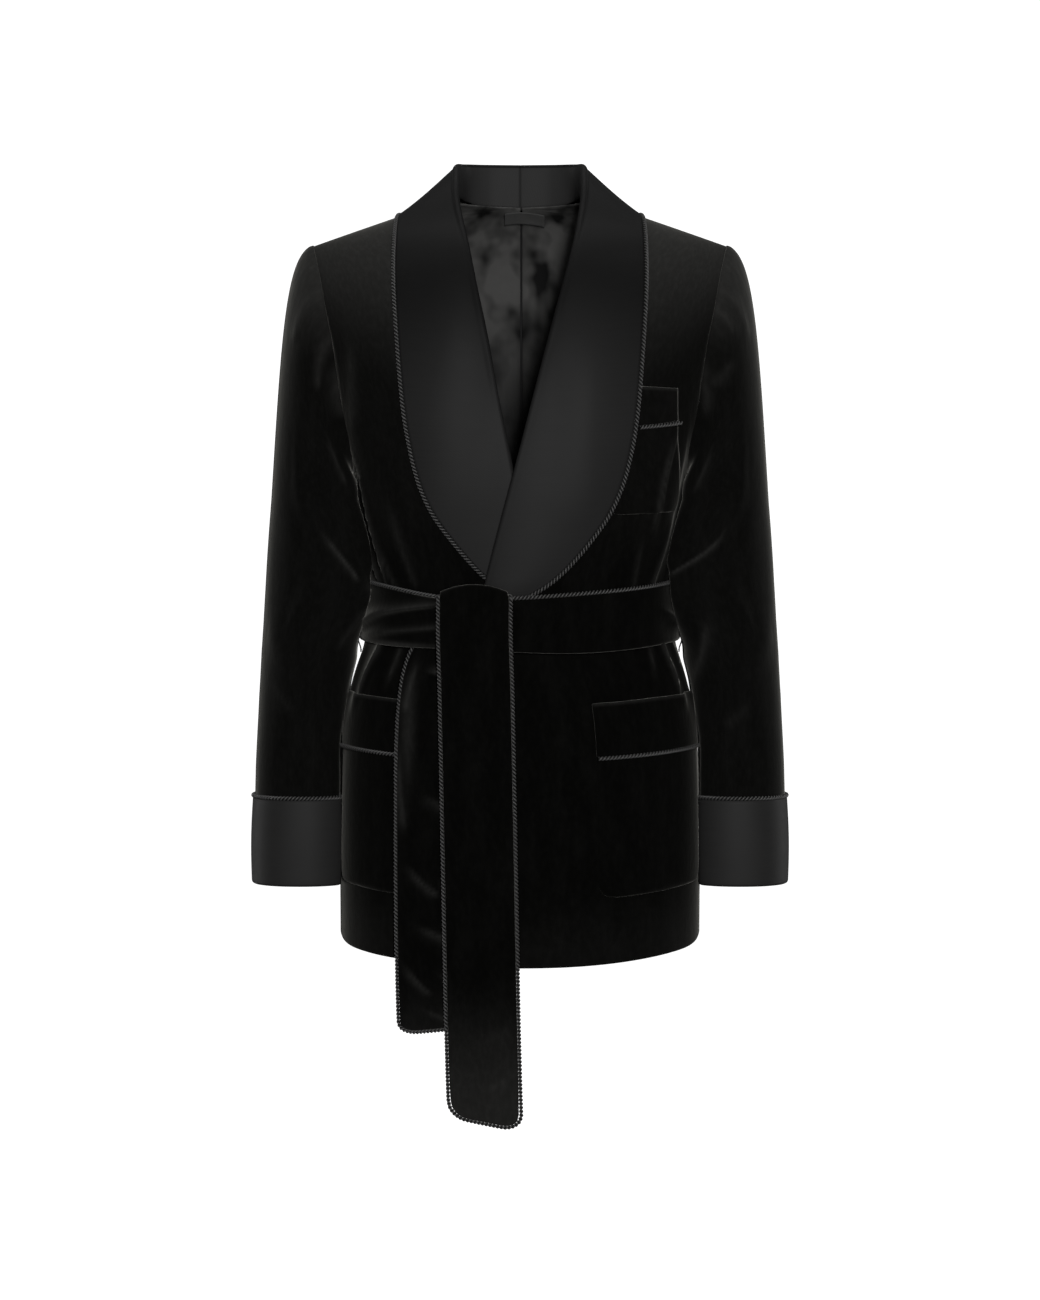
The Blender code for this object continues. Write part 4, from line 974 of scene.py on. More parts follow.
def cuff_layer(face, back, side):
    """One face of the turned-back cuff: down outside the sleeve, half round its end, a little way up inside.

    The half round has its middle between face and back and half their difference for radius.
    """
    turn = np.radians(np.linspace(0, 360, CUFF_COLUMNS, endpoint=False))
    fold = np.linspace(0, math.pi, CUFF_FOLD_ROWS + 2)[1:-1]
    down = np.linspace(0, 1, CUFF_ROWS)
    top = v_at(CUFF_TOP_Z)
    inside = np.linspace(1, CUFF_INSIDE, CUFF_INNER_ROWS)
    v = np.concatenate([top + (1 - top) * down, np.ones(CUFF_FOLD_ROWS), inside])
    swell = CUFF_SWELL * np.sin(math.pi * down)
    middle, radius = (face + back) / 2, (face - back) / 2
    out = np.concatenate([face + swell, middle + radius * np.cos(fold), np.full(CUFF_INNER_ROWS, back)])
    drop = np.concatenate([np.zeros(CUFF_ROWS), radius * np.sin(fold), np.zeros(CUFF_INNER_ROWS)])
    turn, v = np.meshgrid(turn, v)
    points = sleeve(turn, v, np.broadcast_to(out[:, None], v.shape), side)
    points[..., 2] -= drop[:, None]
    return points


def cuff_panel(side):
    """Shown and hidden faces of a cuff."""
    shown = cuff_layer(CLEAR + SATIN, -VELVET - CLEAR - SATIN, side)
    hidden = cuff_layer(CLEAR, -VELVET - CLEAR, side)
    return shown, hidden


def cuff_cord_path(side):
    """Ring of cord along the cuff's top edge."""
    turn = np.radians(np.linspace(0, 360, CUFF_CORD_POINTS, endpoint=False))[None]
    v = np.full(turn.shape, v_at(CUFF_TOP_Z + CORD_R + SEAM))
    return sleeve(turn, v, np.full(turn.shape, 0.8 * CORD_R), side)[0]


# Collar


def lapel_lift(x, z, side):
    """Extra height of the upper lapel where it passes over the breast pocket: a flat-topped bell of z."""
    if side < 0:
        return np.zeros(np.broadcast(x, z).shape)
    out_from_edge = ease((np.abs(x) - POCKET_LIFT_X) / POCKET_LIFT_X_RUN)
    return POCKET_LIFT * bell(((z - POCKET_LIFT_Z) / POCKET_LIFT_RUN) ** 2) * out_from_edge


def collar_guides(side):
    """Roll line, outer edge, fold facing, stand and share on the body of one collar half, by section."""
    rows = len(COLLAR_SECTIONS)
    roll, edge = np.zeros((rows, 3)), np.zeros((rows, 3))
    for k, (x, y, z, _, _, edge_x, edge_level) in enumerate(COLLAR_SECTIONS):
        if y is None:
            height = np.float64(MM * z)
            roll[k] = on_front(roll_x(height, side), height, np.float64(LAPEL_OUT - FOLD_R), side, 0.0)
        else:
            roll[k] = MM * np.array([side * x, y, z])
        edge_angle = angle_at(side * MM * edge_x, edge_level)
        edge[k] = lifted(edge_angle, np.float64(edge_level), np.float64(LAPEL_OUT), 0.0)
    at = np.linspace(0, rows - 1, COLLAR_ROWS)
    face = np.radians(np.interp(at, np.arange(rows), [row[3] for row in COLLAR_SECTIONS]))
    stand = MM * np.interp(at, np.arange(rows), [row[4] for row in COLLAR_SECTIONS])
    roll = np.stack([spline(roll[:, k], at, False) for k in range(3)], -1)
    edge = np.stack([spline(edge[:, k], at, False) for k in range(3)], -1)
    return roll, edge, face, stand, ease((at - COLLAR_ON_BODY) / COLLAR_ON_BODY_RUN)


def collar_panel(side):
    """Shown and hidden points of a collar half and its painted light: stand, half-round fold at the roll
    line, fall.

    The fall runs straight from fold to edge at the neck and eases into lying on the front further down, with
    a soft swell between that is a sine of the share across.
    """
    roll, edge, face, stand, on_body = collar_guides(side)
    out = np.stack([side * np.sin(face), -np.cos(face), np.zeros_like(face)], -1)
    level = level_at(roll[:, 0], roll[:, 2])
    on_cloth = torso(angle_at(roll[:, 0], level), level, 0.0)[1]
    out = out + (on_cloth - out) * on_body[:, None]
    along = np.gradient(roll, axis=0)
    crest = unit(side * np.cross(along, out))
    out = unit(side * np.cross(crest, along))
    foot = roll - FOLD_R * out
    rise = np.linspace(1, 0, STAND_COLUMNS)[None, :, None]
    length = stand[:, None, None] * rise + FOLD_R * (1 - rise)
    stand_part = foot[:, None] - length * crest[:, None]
    turn = np.linspace(-math.pi / 2, math.pi / 2, FOLD_COLUMNS + 1)[1:, None]
    middle = roll - FOLD_R * crest
    fold_part = middle[:, None] + FOLD_R * (np.cos(turn) * crest[:, None] + np.sin(turn) * out[:, None])
    start = fold_part[:, -1]
    t = np.linspace(0, 1, FALL_COLUMNS + 1)[None, 1:]
    flat = start[:, None] + (edge - start)[:, None] * t[..., None]
    bulge = np.sin(math.pi * t ** 0.75)
    x, z = flat[..., 0], flat[..., 2]
    cover = ease((x - roll_x(z, 1) + LAPEL_COVER) / LAPEL_COVER_RUN) if side < 0 else 0.0
    width = np.linalg.norm(edge - start, axis=1)[:, None]
    full = np.minimum(1, width / LAPEL_FULL_WIDTH) * (1 - LAPEL_COVER_SHARE * cover)
    raised = LAPEL_OUT + LAPEL_BULGE * bulge * full
    draped = on_front(x, z, raised + lapel_lift(x, z, side), side, 0.0)
    straight = flat + FALL_BULGE * bulge[..., None] * out[:, None]
    fall_part = straight + (draped - straight) * on_body[:, None, None]
    shown = np.concatenate([stand_part, fold_part, fall_part], 1)
    shown[0, :, 0] = side * SEAM / 2
    normal = unit(np.cross(np.gradient(shown, axis=1), np.gradient(shown, axis=0)))
    normal = normal * np.sign(np.sum(normal[:, STAND_COLUMNS + FOLD_COLUMNS // 2] * crest, -1))[:, None, None]
    normal[0, :, 0] = 0
    wave = COLLAR_WAVE * ripple(shown[..., 0] * 1.3, shown[..., 2], 1.0 + side) * on_body[:, None]
    shown = shown + wave[..., None] * normal
    standing = np.arange(shown.shape[1]) < STAND_COLUMNS
    # painted shade on the upper lapel, lighter towards its foot, and even painted light on the stand
    lapel = LAPEL_PAINTED_LIGHT[0] + LAPEL_PAINTED_LIGHT[1] * ease((LAPEL_SHADE_Z - shown[..., 2]) / LAPEL_SHADE_RUN)
    painted_light_tone = np.where(standing, STAND_PAINTED_LIGHT, lapel)
    return shown, shown - SATIN * normal, painted_light_tone


def collar_cord_path(side, shown, hidden):
    """Cord along the outer edge of a collar half, lifted to the top of the edge; with the cloth's normal."""
    along = unit(np.gradient(shown[:, -1], axis=0))
    away = square_to(shown[:, -1] - shown[:, -3], along)
    up = unit(shown[:, -1] - hidden[:, -1])
    path = (shown[:, -1] + hidden[:, -1]) / 2 + (CORD_R + CORD_SEAT) * away + CORD_LIFT * up
    path[0, 0] = side * COLLAR_CORD_GAP
    return path[:-2], up[:-2]


# Pockets


def on_panel(share, level, out, side):
    """Point off a front at a share of the way from its edge to its side seam, and the cloth's normal."""
    edge, seam = front_limits(level, side)
    angle = edge + share * (seam - edge)
    point, normal = torso(angle, level)
    lift = out + front_out(point[..., 0], point[..., 2], side)
    return point + lift[..., None] * normal, normal


def share_at(x, level, side):
    """Share of the way from a front's edge to its side seam at x."""
    edge, seam = front_limits(level, side)
    return (angle_at(side * x, level) - edge) / (seam - edge)


def pocket_limits(pocket, level):
    """A pocket's sides as shares of its front: at each level on the chest, at its middle level lower down."""
    if pocket["low"] < ARMPIT - 1:
        level = np.full_like(level, (pocket["low"] + pocket["top"]) / 2)
    return [share_at(pocket[key], level, pocket["side"]) for key in ("inner_x", "outer_x")]


def patch(pocket, low, top, gap, puff, corner, low_dip, rows, slant=0.0):
    """Outer and inner points of a patch on a front and its painted light, with round lower corners and a soft
    fullness.

    The fullness is puff times a fourth-power crown in both directions; the corner insets each side by the
    rise of a quarter circle. slant is how many levels the low edge climbs on its way across.
    """
    side = pocket["side"]
    down = crowded(rows)[:, None]
    across = crowded(PATCH_COLUMNS)[None]
    level = low + (top - low) * down + slant * across * (1 - down)
    first, last = pocket_limits(pocket, level)
    short = np.maximum(corner - down * np.ptp(ring_height(np.array([low, top]))), 0)
    inset = (corner - np.sqrt(np.maximum(corner ** 2 - short ** 2, 0))) / FRONT_SPAN
    share = first + inset + (last - first - 2 * inset) * across
    level = np.broadcast_to(level, share.shape)
    crown = (1 - np.abs(2 * across - 1) ** 4) * (1 - np.abs(2 * down - 1) ** 4)
    inner = on_panel(share, level, np.full(share.shape, gap), side)[0]
    side_dip = EDGE_DIP + 0.5 * (gap - PATCH_GAP)
    felled = seam_dip(inner, {"first_column": side_dip, "last_column": side_dip, "first_row": low_dip})
    inner = on_panel(share, level, gap - 0.8 * felled, side)[0]
    outer = on_panel(share, level, gap + PATCH + puff * crown - felled, side)[0]
    edge, seam = front_limits(level, side)
    return outer, inner, velvet_painted_light(edge + share * (seam - edge), level)


def pocket_cord_path(pocket):
    """Cord under a band's low edge, from where it shows to the pocket's outer side, and its normal."""
    side, cord_x = pocket["side"], pocket["cord_x"]
    start = (cord_x - pocket["inner_x"]) / (pocket["outer_x"] - pocket["inner_x"])
    climb = pocket["slant"] * np.linspace(start, 1, POCKET_CORD_POINTS)
    level = pocket["band"] + climb - pocket["cord_drop"]
    end = pocket_limits(pocket, level[-1:])[1][0]
    line = np.linspace(share_at(cord_x, level[0], side), end, POCKET_CORD_POINTS)
    return on_panel(line, level, np.full(line.shape, BAND_GAP + CORD_R), side)


# Belt


def drawn_in(angle):
    """How far each edge of the sash is drawn in towards the knot: a bell of the angle."""
    return BELT_DRAWN * bell((angle - KNOT_ANGLE) / BELT_DRAWN_REACH)


def belt_out(angle):
    """Distance of the band's inner face from the torso: it stands off at the layered front and the knot."""
    front = ease((np.maximum(np.cos(angle), 0) - BELT_FRONT_COSINE) / BELT_FRONT_RUN)
    knot = bell((angle - KNOT_ANGLE) / BELT_KNOT_REACH)
    return BELT_OUT + BELT_FRONT_OUT * front + BELT_KNOT_OUT * knot


def belt_band():
    """Outer and inner points of the sash round the waist and its painted light, narrower towards the knot."""
    rows, columns = BELT_GRID
    angle = np.linspace(-math.pi, math.pi, columns, endpoint=False)[None]
    share = np.linspace(0, 1, rows)[:, None]
    top, end = BELT_TOP_Z - drawn_in(angle), BELT_END_Z + drawn_in(angle)
    height = (top - end) * share
    level = belt_level(end + height)
    angle = np.broadcast_to(angle, level.shape)
    crease, crest = creases(BELT_CREASES, np.degrees(angle), height, TORSO_DEGREE)
    fullness = BELT_SWELL + BELT_SLACK * ripple(angle * 0.20, height * 1.5, 4.0)
    swell = fullness * np.sin(math.pi * share)
    outer = lifted(angle, level, belt_out(angle) + BELT + swell + crease, 0.0)
    inner = lifted(angle, level, belt_out(angle) + 0.6 * crease, 0.0)
    # painted highlight on crease crests and painted sheen along the low edge
    low_edge_sheen = bell(share / BELT_EDGE_SHEEN_SHARE) * bell((angle - BELT_EDGE_SHEEN_ANGLE) / BELT_EDGE_SHEEN_REACH)
    return outer, inner, BELT_CREST_HIGHLIGHT * crest + BELT_EDGE_SHEEN * low_edge_sheen


def belt_cord_path():
    """Cord along the band's top edge, open behind the knot; with the cloth's normal."""
    first, last = KNOT_ANGLE + BELT_CORD_ENDS[0], KNOT_ANGLE + 2 * math.pi - BELT_CORD_ENDS[1]
    angle = turned(np.linspace(first, last, BELT_CORD_POINTS))
    z = BELT_TOP_Z - drawn_in(angle) + CORD_R
    level = belt_level(z)
    crease = creases(BELT_CREASES, np.degrees(angle), z - BELT_END_Z, TORSO_DEGREE)[0]
    path = lifted(angle, level, belt_out(angle) + BELT - BELT_CORD_IN + 0.8 * crease, 0.0)
    return path, torso(angle, level, 0.0)[1]


def tail(sections, creased, end_left, end_right, corner, free):
    """Middle points of a hanging tail and its painted light: draped on the upper front, straight down below
    the hem.

    Its end is a slanted line with round corners, reached by drawing the last rows down by a square. free is
    the section from which it hangs free of the knot.
    """
    rows, columns = TAIL_GRID
    last = len(sections) - 1
    at = np.linspace(0, last, rows)
    table = np.array(sections) * MM
    z, x_mid, out, width = (spline(table[:, k], at, False)[:, None] for k in range(4))
    at = at[:, None]
    u = (crowded(columns) - 0.5)[None]
    bend = np.clip((np.abs(u) * 2 - 0.5) / 0.5, 0, 1)
    end = end_left + (end_right - end_left) * (u + 0.5) + corner * (1 - np.sqrt(1 - bend ** 2))
    pull = np.clip((at - last + TAIL_PULL) / TAIL_PULL, 0, 1) ** 2
    roof = TAIL_ROOF * (2 * u) ** 2 * bell(((at - TAIL_ROOF_AT) / TAIL_ROOF_REACH) ** 2) * (free > 0)
    z = z + pull * (end - z[-1]) - roof
    x = x_mid + u * width
    hang = ease((TAIL_HANG_Z - z) / TAIL_HANG_RUN) * ease(at - free)
    crease, crest = creases(creased, 100 * u, z, TAIL_SHARE)
    wave = TAIL_WAVE * ripple(x * 0.6, z * 0.5, 2.0)
    lift = out + (crease + wave) * hang
    point = on_front(x, np.maximum(z, HEM_HOLD_Z), lift, 1)
    point[..., 0], point[..., 2] = x, z
    # painted highlight band down one side of the under tail, painted sheen towards the end and painted
    # highlight on crease crests
    band = bell((u - TAIL_HIGHLIGHT_SHARE) / TAIL_HIGHLIGHT_WIDTH) * bell((z - TAIL_HIGHLIGHT_Z) / TAIL_HIGHLIGHT_RUN)
    band = band * (free == 0)
    end_sheen = TAIL_END_SHEEN * ease((TAIL_END_SHEEN_Z - z) / TAIL_END_SHEEN_RUN)
    return point, TAIL_CREASE_HIGHLIGHT * crest * hang + TAIL_SIDE_HIGHLIGHT * band + end_sheen


def tail_cord(middle):
    """Path of the cord down one edge of a tail, across its end and up the other edge, and its normal."""
    path = np.concatenate([middle[:, 0], middle[-1, 1:-1], middle[::-1, -1]])
    inward = np.concatenate([middle[:, 2], middle[-3, 1:-1], middle[::-1, -3]])
    along = unit(np.gradient(path, axis=0))
    away = square_to(path - inward, along)
    return path + (CORD_R + TAIL_CORD_SEAT) * away, np.cross(along, away)


def thickened(middle, thickness):
    """Two faces of a sheet, half its thickness either side of its middle points."""
    normal = unit(np.cross(np.gradient(middle, axis=1), np.gradient(middle, axis=0)))
    return middle + thickness / 2 * normal, middle - thickness / 2 * normal


def knot_points():
    """Outer and inner points of the soft knot: a pillow on the front, crowned by fourth powers."""
    u, t = np.meshgrid(np.linspace(-1, 1, KNOT_ROWS), np.linspace(-1, 1, KNOT_ROWS))
    x = KNOT_MIDDLE[0] + KNOT_HALF[0] * u
    z = KNOT_MIDDLE[1] + KNOT_HALF[1] * t
    swell = KNOT_SWELL * (1 - np.abs(u) ** 4) * (1 - np.abs(t) ** 4)
    return on_front(x, z, KNOT_OUT[1] + swell, 1, 0.0), on_front(x, z, np.full(x.shape, KNOT_OUT[0]), 1, 0.0)


def loop_path(side):
    """Path of the thread carrier at a side seam: off the cloth, down over the band, back to the cloth."""
    face = belt_out(np.float64(CARRIER_ANGLE)) + BELT + CARRIER_OVER
    z = np.linspace(*CARRIER_Z, CARRIER_POINTS)
    rise = np.minimum(CARRIER_Z[0] - z, z - CARRIER_Z[1]) / CARRIER_BEND
    out = CARRIER_GAP + (face - CARRIER_GAP) * ease(rise)
    point, normal = torso(np.full(z.shape, side * CARRIER_ANGLE), belt_level(z), 0.0)
    return point + out[:, None] * normal, normal


def label_points():
    """Outer and inner points of the bare neck label on the lining under the collar seam."""
    level = np.linspace(*LABEL_LEVELS, LABEL_GRID[0])[:, None]
    x = np.linspace(*LABEL_X, LABEL_GRID[1])[None]
    angle, level = np.broadcast_arrays(math.pi - angle_at(x, level), level)
    return [lifted(angle, level, np.full(angle.shape, -LABEL_DEPTH - depth), 0) for depth in (0, LABEL)]


# Meshes


def build(name, points, quads, materials, uv, nap, inside=None):
    """Mesh object from arrays: four-sided faces, a UV map in metres, the painted light and shade of each
    point, smooth shading.

    Faces are turned over together if the volume that they enclose comes out negative.
    """
    corner = points[quads]
    first = np.cross(corner[:, 1] - corner[:, 0], corner[:, 2] - corner[:, 0])
    second = np.cross(corner[:, 2] - corner[:, 0], corner[:, 3] - corner[:, 0])
    if np.sum(corner[:, 0] * (first + second)) < 0:
        quads = quads[:, ::-1]
    mesh = bpy.data.meshes.new(name)
    mesh.vertices.add(len(points))
    mesh.vertices.foreach_set("co", points.astype(np.float32).ravel())
    mesh.loops.add(quads.size)
    mesh.loops.foreach_set("vertex_index", quads.astype(np.int32).ravel())
    mesh.polygons.add(len(quads))
    mesh.polygons.foreach_set("loop_start", np.arange(0, quads.size, 4, dtype=np.int32))
    mesh.polygons.foreach_set("use_smooth", np.ones(len(quads), bool))
    for material in materials:
        mesh.materials.append(material)
    if inside is not None:
        mesh.polygons.foreach_set("material_index", inside.astype(np.int32))
    mesh.uv_layers.new(name="cloth").data.foreach_set("uv", uv[quads.ravel()].astype(np.float32).ravel())
    # per-point painted light and shade, which the finishes turn into paler or darker colour
    mesh.attributes.new("nap", "FLOAT", "POINT").data.foreach_set("value", nap.astype(np.float32))
    mesh.update(calc_edges=True)
    mesh.validate()
    piece = bpy.data.objects.new(name, mesh)
    bpy.context.collection.objects.link(piece)
    return piece


def ringed(grid):
    """A grid with its first column again at the end."""
    return np.concatenate([grid, grid[:, :1]], 1)


def grid_faces(index):
    """Four-sided faces between the neighbours of a grid of point numbers."""
    return np.stack([index[:-1, :-1], index[:-1, 1:], index[1:, 1:], index[1:, :-1]], -1).reshape(-1, 4)


def run_lengths(points):
    """UV in metres: mean running length of the grid's rows and columns."""
    return np.stack(np.meshgrid(running(points, 1).mean(0), running(points, 0).mean(1)), -1)


def shell(name, outer, inner, cloth, backing=None, nap=None, wrap=False):
    """Closed cloth wall between two grids, its edges rounded by a middle line set out half a thickness.

    wrap joins the last column to the first.
    """
    rows, columns = outer.shape[:2]
    count = rows * columns
    index = np.arange(count).reshape(rows, columns)
    ring = ringed(index) if wrap else index
    sheet = grid_faces(ring)
    if wrap:
        rims = [ring[0], ring[-1][::-1]]
    else:
        rims = [np.concatenate([index[0], index[1:, -1], index[-1, -2::-1], index[-2::-1, 0]])]
    flat_outer, flat_inner = outer.reshape(-1, 3), inner.reshape(-1, 3)
    faces = [sheet, sheet[:, ::-1] + count]
    points = [flat_outer, flat_inner]
    source = [np.arange(count), np.arange(count)]
    base = 2 * count
    for rim in rims:
        edge = rim[:-1]
        row, column = np.divmod(edge, columns)
        inset_column = column if wrap else np.clip(column, 1, columns - 2)
        within = index[np.clip(row, 1, rows - 2), inset_column]
        half = np.linalg.norm(flat_outer[edge] - flat_inner[edge], axis=1, keepdims=True) / 2
        middle = (flat_outer[edge] + flat_inner[edge]) / 2
        points.append(middle + RIM_OUT * half * unit(flat_outer[edge] - flat_outer[within]))
        source.append(edge)
        here = base + np.arange(len(edge))
        after, following = np.roll(here, -1), np.roll(edge, -1)
        faces.append(np.stack([edge, here, after, following], -1))
        faces.append(np.stack([here, edge + count, following + count, after], -1))
        base += len(edge)
    quads = np.concatenate(faces)
    source = np.concatenate(source)
    uv = run_lengths(outer).reshape(-1, 2)[source]
    nap = np.zeros(count) if nap is None else np.clip(nap, 0, 1).ravel()
    materials = [cloth] if backing is None else [cloth, backing]
    inside = None
    if backing is not None:
        inside = np.zeros(len(quads), int)
        inside[len(sheet):2 * len(sheet)] = 1
    return build(name, np.concatenate(points), quads, materials, uv, nap[source], inside)


def twisted_cord(name, path, up, thread, closed=False, radius=CORD_R, lay=CORD_LAY):
    """Two strands wound round each other along a path, each a six-sided tube.

    Each strand's middle turns once round the path per lay, at STRAND_OUT of the radius; its tube has the rest
    of it. Its painted light is the share by which a point faces away from the other strand: painted highlight
    on each strand's crown, painted shade where the strands meet.
    """
    line = np.concatenate([path, path[:1]]) if closed else path
    rise = np.concatenate([up, up[:1]]) if closed else up
    run = running(line, 0)
    turns = max(1, round(run[-1] / lay))
    steps = CORD_STEPS * turns + (0 if closed else 1)
    s = np.linspace(0, run[-1], steps, endpoint=not closed)
    centre = np.stack([np.interp(s, run, line[:, k]) for k in range(3)], -1)
    normal = np.stack([np.interp(s, run, rise[:, k]) for k in range(3)], -1)
    ahead = np.roll(centre, -1, 0) - np.roll(centre, 1, 0)
    if not closed:
        ahead[0], ahead[-1] = centre[1] - centre[0], centre[-1] - centre[-2]
    across = unit(np.cross(ahead, normal))
    normal = unit(np.cross(across, ahead))
    phase = 2 * math.pi * turns * s / run[-1]
    round_tube = np.linspace(0, 2 * math.pi, CORD_SIDES, endpoint=False)
    # painted light: painted highlight on each strand's crown, painted shade between the strands
    crown = np.tile(0.5 + 0.5 * np.cos(round_tube), 2 * steps)
    points, faces, uv = [], [], []
    for strand in (0, 1):
        angle = phase + math.pi * strand
        side, top = np.cos(angle)[:, None], np.sin(angle)[:, None]
        middle = centre + STRAND_OUT * radius * (side * across + top * normal)
        turn = (angle[:, None] + round_tube)[..., None]
        tube = (1 - STRAND_OUT) * radius * (np.cos(turn) * across[:, None] + np.sin(turn) * normal[:, None])
        count = steps * CORD_SIDES
        index = np.arange(count).reshape(steps, CORD_SIDES) + count * strand
        ring = ringed(index)
        if closed:
            ring = np.concatenate([ring, ring[:1]])
        faces.append(grid_faces(ring))
        if not closed:
            faces.append(index[0][[[3, 2, 1, 0], [5, 4, 3, 0]]])
            faces.append(index[-1][[[0, 1, 2, 3], [0, 3, 4, 5]]])
        points.append((middle[:, None] + tube).reshape(-1, 3))
        uv.append(np.stack(np.meshgrid(round_tube * radius, s), -1).reshape(-1, 2))
    points = np.concatenate(points)
    return build(name, points, np.concatenate(faces), [thread], np.concatenate(uv), crown)


# Finishes

WAVE = 0.314  # a wave texture of scale 1 repeats at this distance


class Value:
    """A shader socket in a Python expression: each operator adds one Math node."""

    def __init__(self, finish, socket):
        self.finish = finish
        self.socket = socket

    def math(self, operation, first, second):
        return self.finish.node("ShaderNodeMath", {"operation": operation}, {0: first, 1: second})

    def __add__(self, other):
        return self.math("ADD", self, other)

    def __radd__(self, other):
        return self.math("ADD", other, self)

    def __sub__(self, other):
        return self.math("SUBTRACT", self, other)

    def __rsub__(self, other):
        return self.math("SUBTRACT", other, self)

    def __mul__(self, other):
        return self.math("MULTIPLY", self, other)

    def __rmul__(self, other):
        return self.math("MULTIPLY", other, self)


class Finish:
    """A cloth's material, built node by node round one Principled shader."""

    def __init__(self, name):
        self.material = bpy.data.materials.new(name)
        self.material.use_nodes = True
        self.tree = self.material.node_tree
        self.shader = self.tree.nodes["Principled BSDF"]

    def fill(self, node, sockets):
        """Set each input to a number or colour, or link it to a Value."""
        for key, given in sockets.items():
            if isinstance(given, Value):
                self.tree.links.new(given.socket, node.inputs[key])
            else:
                node.inputs[key].default_value = given

    def node(self, kind, settings, sockets, output=0):
        """Any node: its settings first (stops are a ramp's positions and greys), then its inputs."""
        node = self.tree.nodes.new(kind)
        for key, given in settings.items():
            if key == "stops":
                ramp = node.color_ramp.elements
                ramp[0].position, ramp[0].color = given[0][0], (*[given[0][1]] * 3, 1)
                ramp[1].position, ramp[1].color = given[1][0], (*[given[1][1]] * 3, 1)
            else:
                setattr(node, key, given)
        self.fill(node, sockets)
        return Value(self, node.outputs[output])

    def uv(self):
        """The cloth's own coordinates in metres."""
        return self.node("ShaderNodeUVMap", {"uv_map": "cloth"}, {})

    def noise(self, stretch, scale, detail=2.0, roughness=0.5, place=None):
        """Noise over stretched coordinates, 0 to 1, the cloth's own unless others are given."""
        where = self.node("ShaderNodeMapping", {}, {"Vector": place or self.uv(), "Scale": stretch})
        sockets = {"Vector": where, "Scale": scale, "Detail": detail, "Roughness": roughness}
        return self.node("ShaderNodeTexNoise", {}, sockets)

    def lines(self, direction, period):
        """Fine lines of a weave, 0 to 1, a period apart."""
        settings = {"wave_type": "BANDS", "bands_direction": direction}
        return self.node("ShaderNodeTexWave", settings, {"Vector": self.uv(), "Scale": WAVE / period}, 1)

    def ramp(self, value, low, high):
        """Value stretched so that low becomes 0 and high 1."""
        return self.node("ShaderNodeValToRGB", {"stops": ((low, 0.0), (high, 1.0))}, {"Fac": value})

    def nap(self):
        """The painted light and shade at each point, 0 to 1."""
        return self.node("ShaderNodeAttribute", {"attribute_name": "nap"}, {}, 2)

    def blend(self, share, first, second):
        """Colour between two colours."""
        sockets = {0: share, 6: (*first, 1), 7: (*second, 1)}
        return self.node("ShaderNodeMix", {"data_type": "RGBA"}, sockets, 2)

    def bump(self, height, distance, strength):
        """Normal from a height field."""
        sockets = {"Height": height, "Distance": distance, "Strength": strength}
        return self.node("ShaderNodeBump", {}, sockets)

    def done(self, sockets):
        """Set the shader's inputs and give the material."""
        self.fill(self.shader, sockets)
        return self.material


def velvet_finish():
    """Black pile: nearly no colour, a soft sheen on slanting cloth, paler where highlights and sheen are
    painted.
    """
    cloth = Finish("velvet")
    pressed = cloth.ramp(cloth.noise((1, 0.30, 1), 50.0, 4.0, 0.60), 0.42, 0.80)
    crushed = cloth.ramp(cloth.noise((1, 0.5, 1), 210.0, 3.0, 0.55), 0.42, 0.80)
    pile = cloth.noise((1, 1, 1), 1500.0, 2.0)
    # painted highlights and sheen, flecked by the crushed noise, over a random mottle
    painted_sheen = cloth.nap() * (0.80 + 0.30 * crushed)
    light = 0.96 * painted_sheen + 0.016 * pressed + 0.012 * crushed
    return cloth.done({
        "Base Color": cloth.blend(light, (0.0009, 0.0009, 0.0007), (0.0900, 0.0890, 0.0850)),
        "Roughness": 0.94 - 0.10 * pressed,
        "Normal": cloth.bump(pressed + 0.6 * crushed + 0.2 * pile, 0.0005, 0.32),
        "Specular IOR Level": 0.04,
        "Sheen Weight": 0.19,
        "Sheen Roughness": 0.36,
        "Sheen Tint": (0.84, 0.83, 0.77, 1),
    })


def satin_finish():
    """Black satin: smooth and softly bright, with weft streaks and a fine twill; painted light and shade set
    how bright each part of it is.
    """
    cloth = Finish("satin")
    weft = cloth.noise((0.06, 1, 1), 520.0, 2.0)
    cloud = cloth.noise((1, 0.7, 1), 18.0, 3.0)
    twill = cloth.lines("DIAGONAL", 0.0013)
    # painted light and shade times the weft, cloud and twill
    light = cloth.nap() * (0.70 + 0.27 * weft + 0.24 * cloud + 0.09 * twill)
    return cloth.done({
        "Base Color": cloth.blend(light, (0.0014, 0.0014, 0.0014), (0.0270, 0.0268, 0.0266)),
        "Roughness": 0.54 + 0.10 * weft,
        "Normal": cloth.bump(0.3 * twill + weft, 0.0003, 0.16),
        "Specular IOR Level": 0.11,
    })


def lining_finish():
    """Dark lining: a softer satin with crumples and dark clouds, and painted shade that darkens it towards
    the waist.
    """
    cloth = Finish("lining")
    crumple = cloth.noise((1, 0.6, 1), 26.0, 3.0, 0.55)
    place = cloth.node("ShaderNodeTexCoord", {}, {}, "Object")
    cloud = cloth.ramp(cloth.noise((1, 1, 0.7), 30.0, place=place), 0.34, 0.54)
    warp = cloth.noise((1, 0.04, 1), 500.0, 1.0)
    # random cloud times the painted shade
    painted_light_tone = cloud * (0.16 + 0.84 * cloth.nap())
    return cloth.done({
        "Base Color": cloth.blend(painted_light_tone, (0.007, 0.007, 0.007), (0.076, 0.075, 0.073)),
        "Roughness": 0.56 + 0.14 * warp,
        "Normal": cloth.bump(crumple + 0.02 * warp, 0.010, 0.40),
        "Specular IOR Level": 0.06,
    })


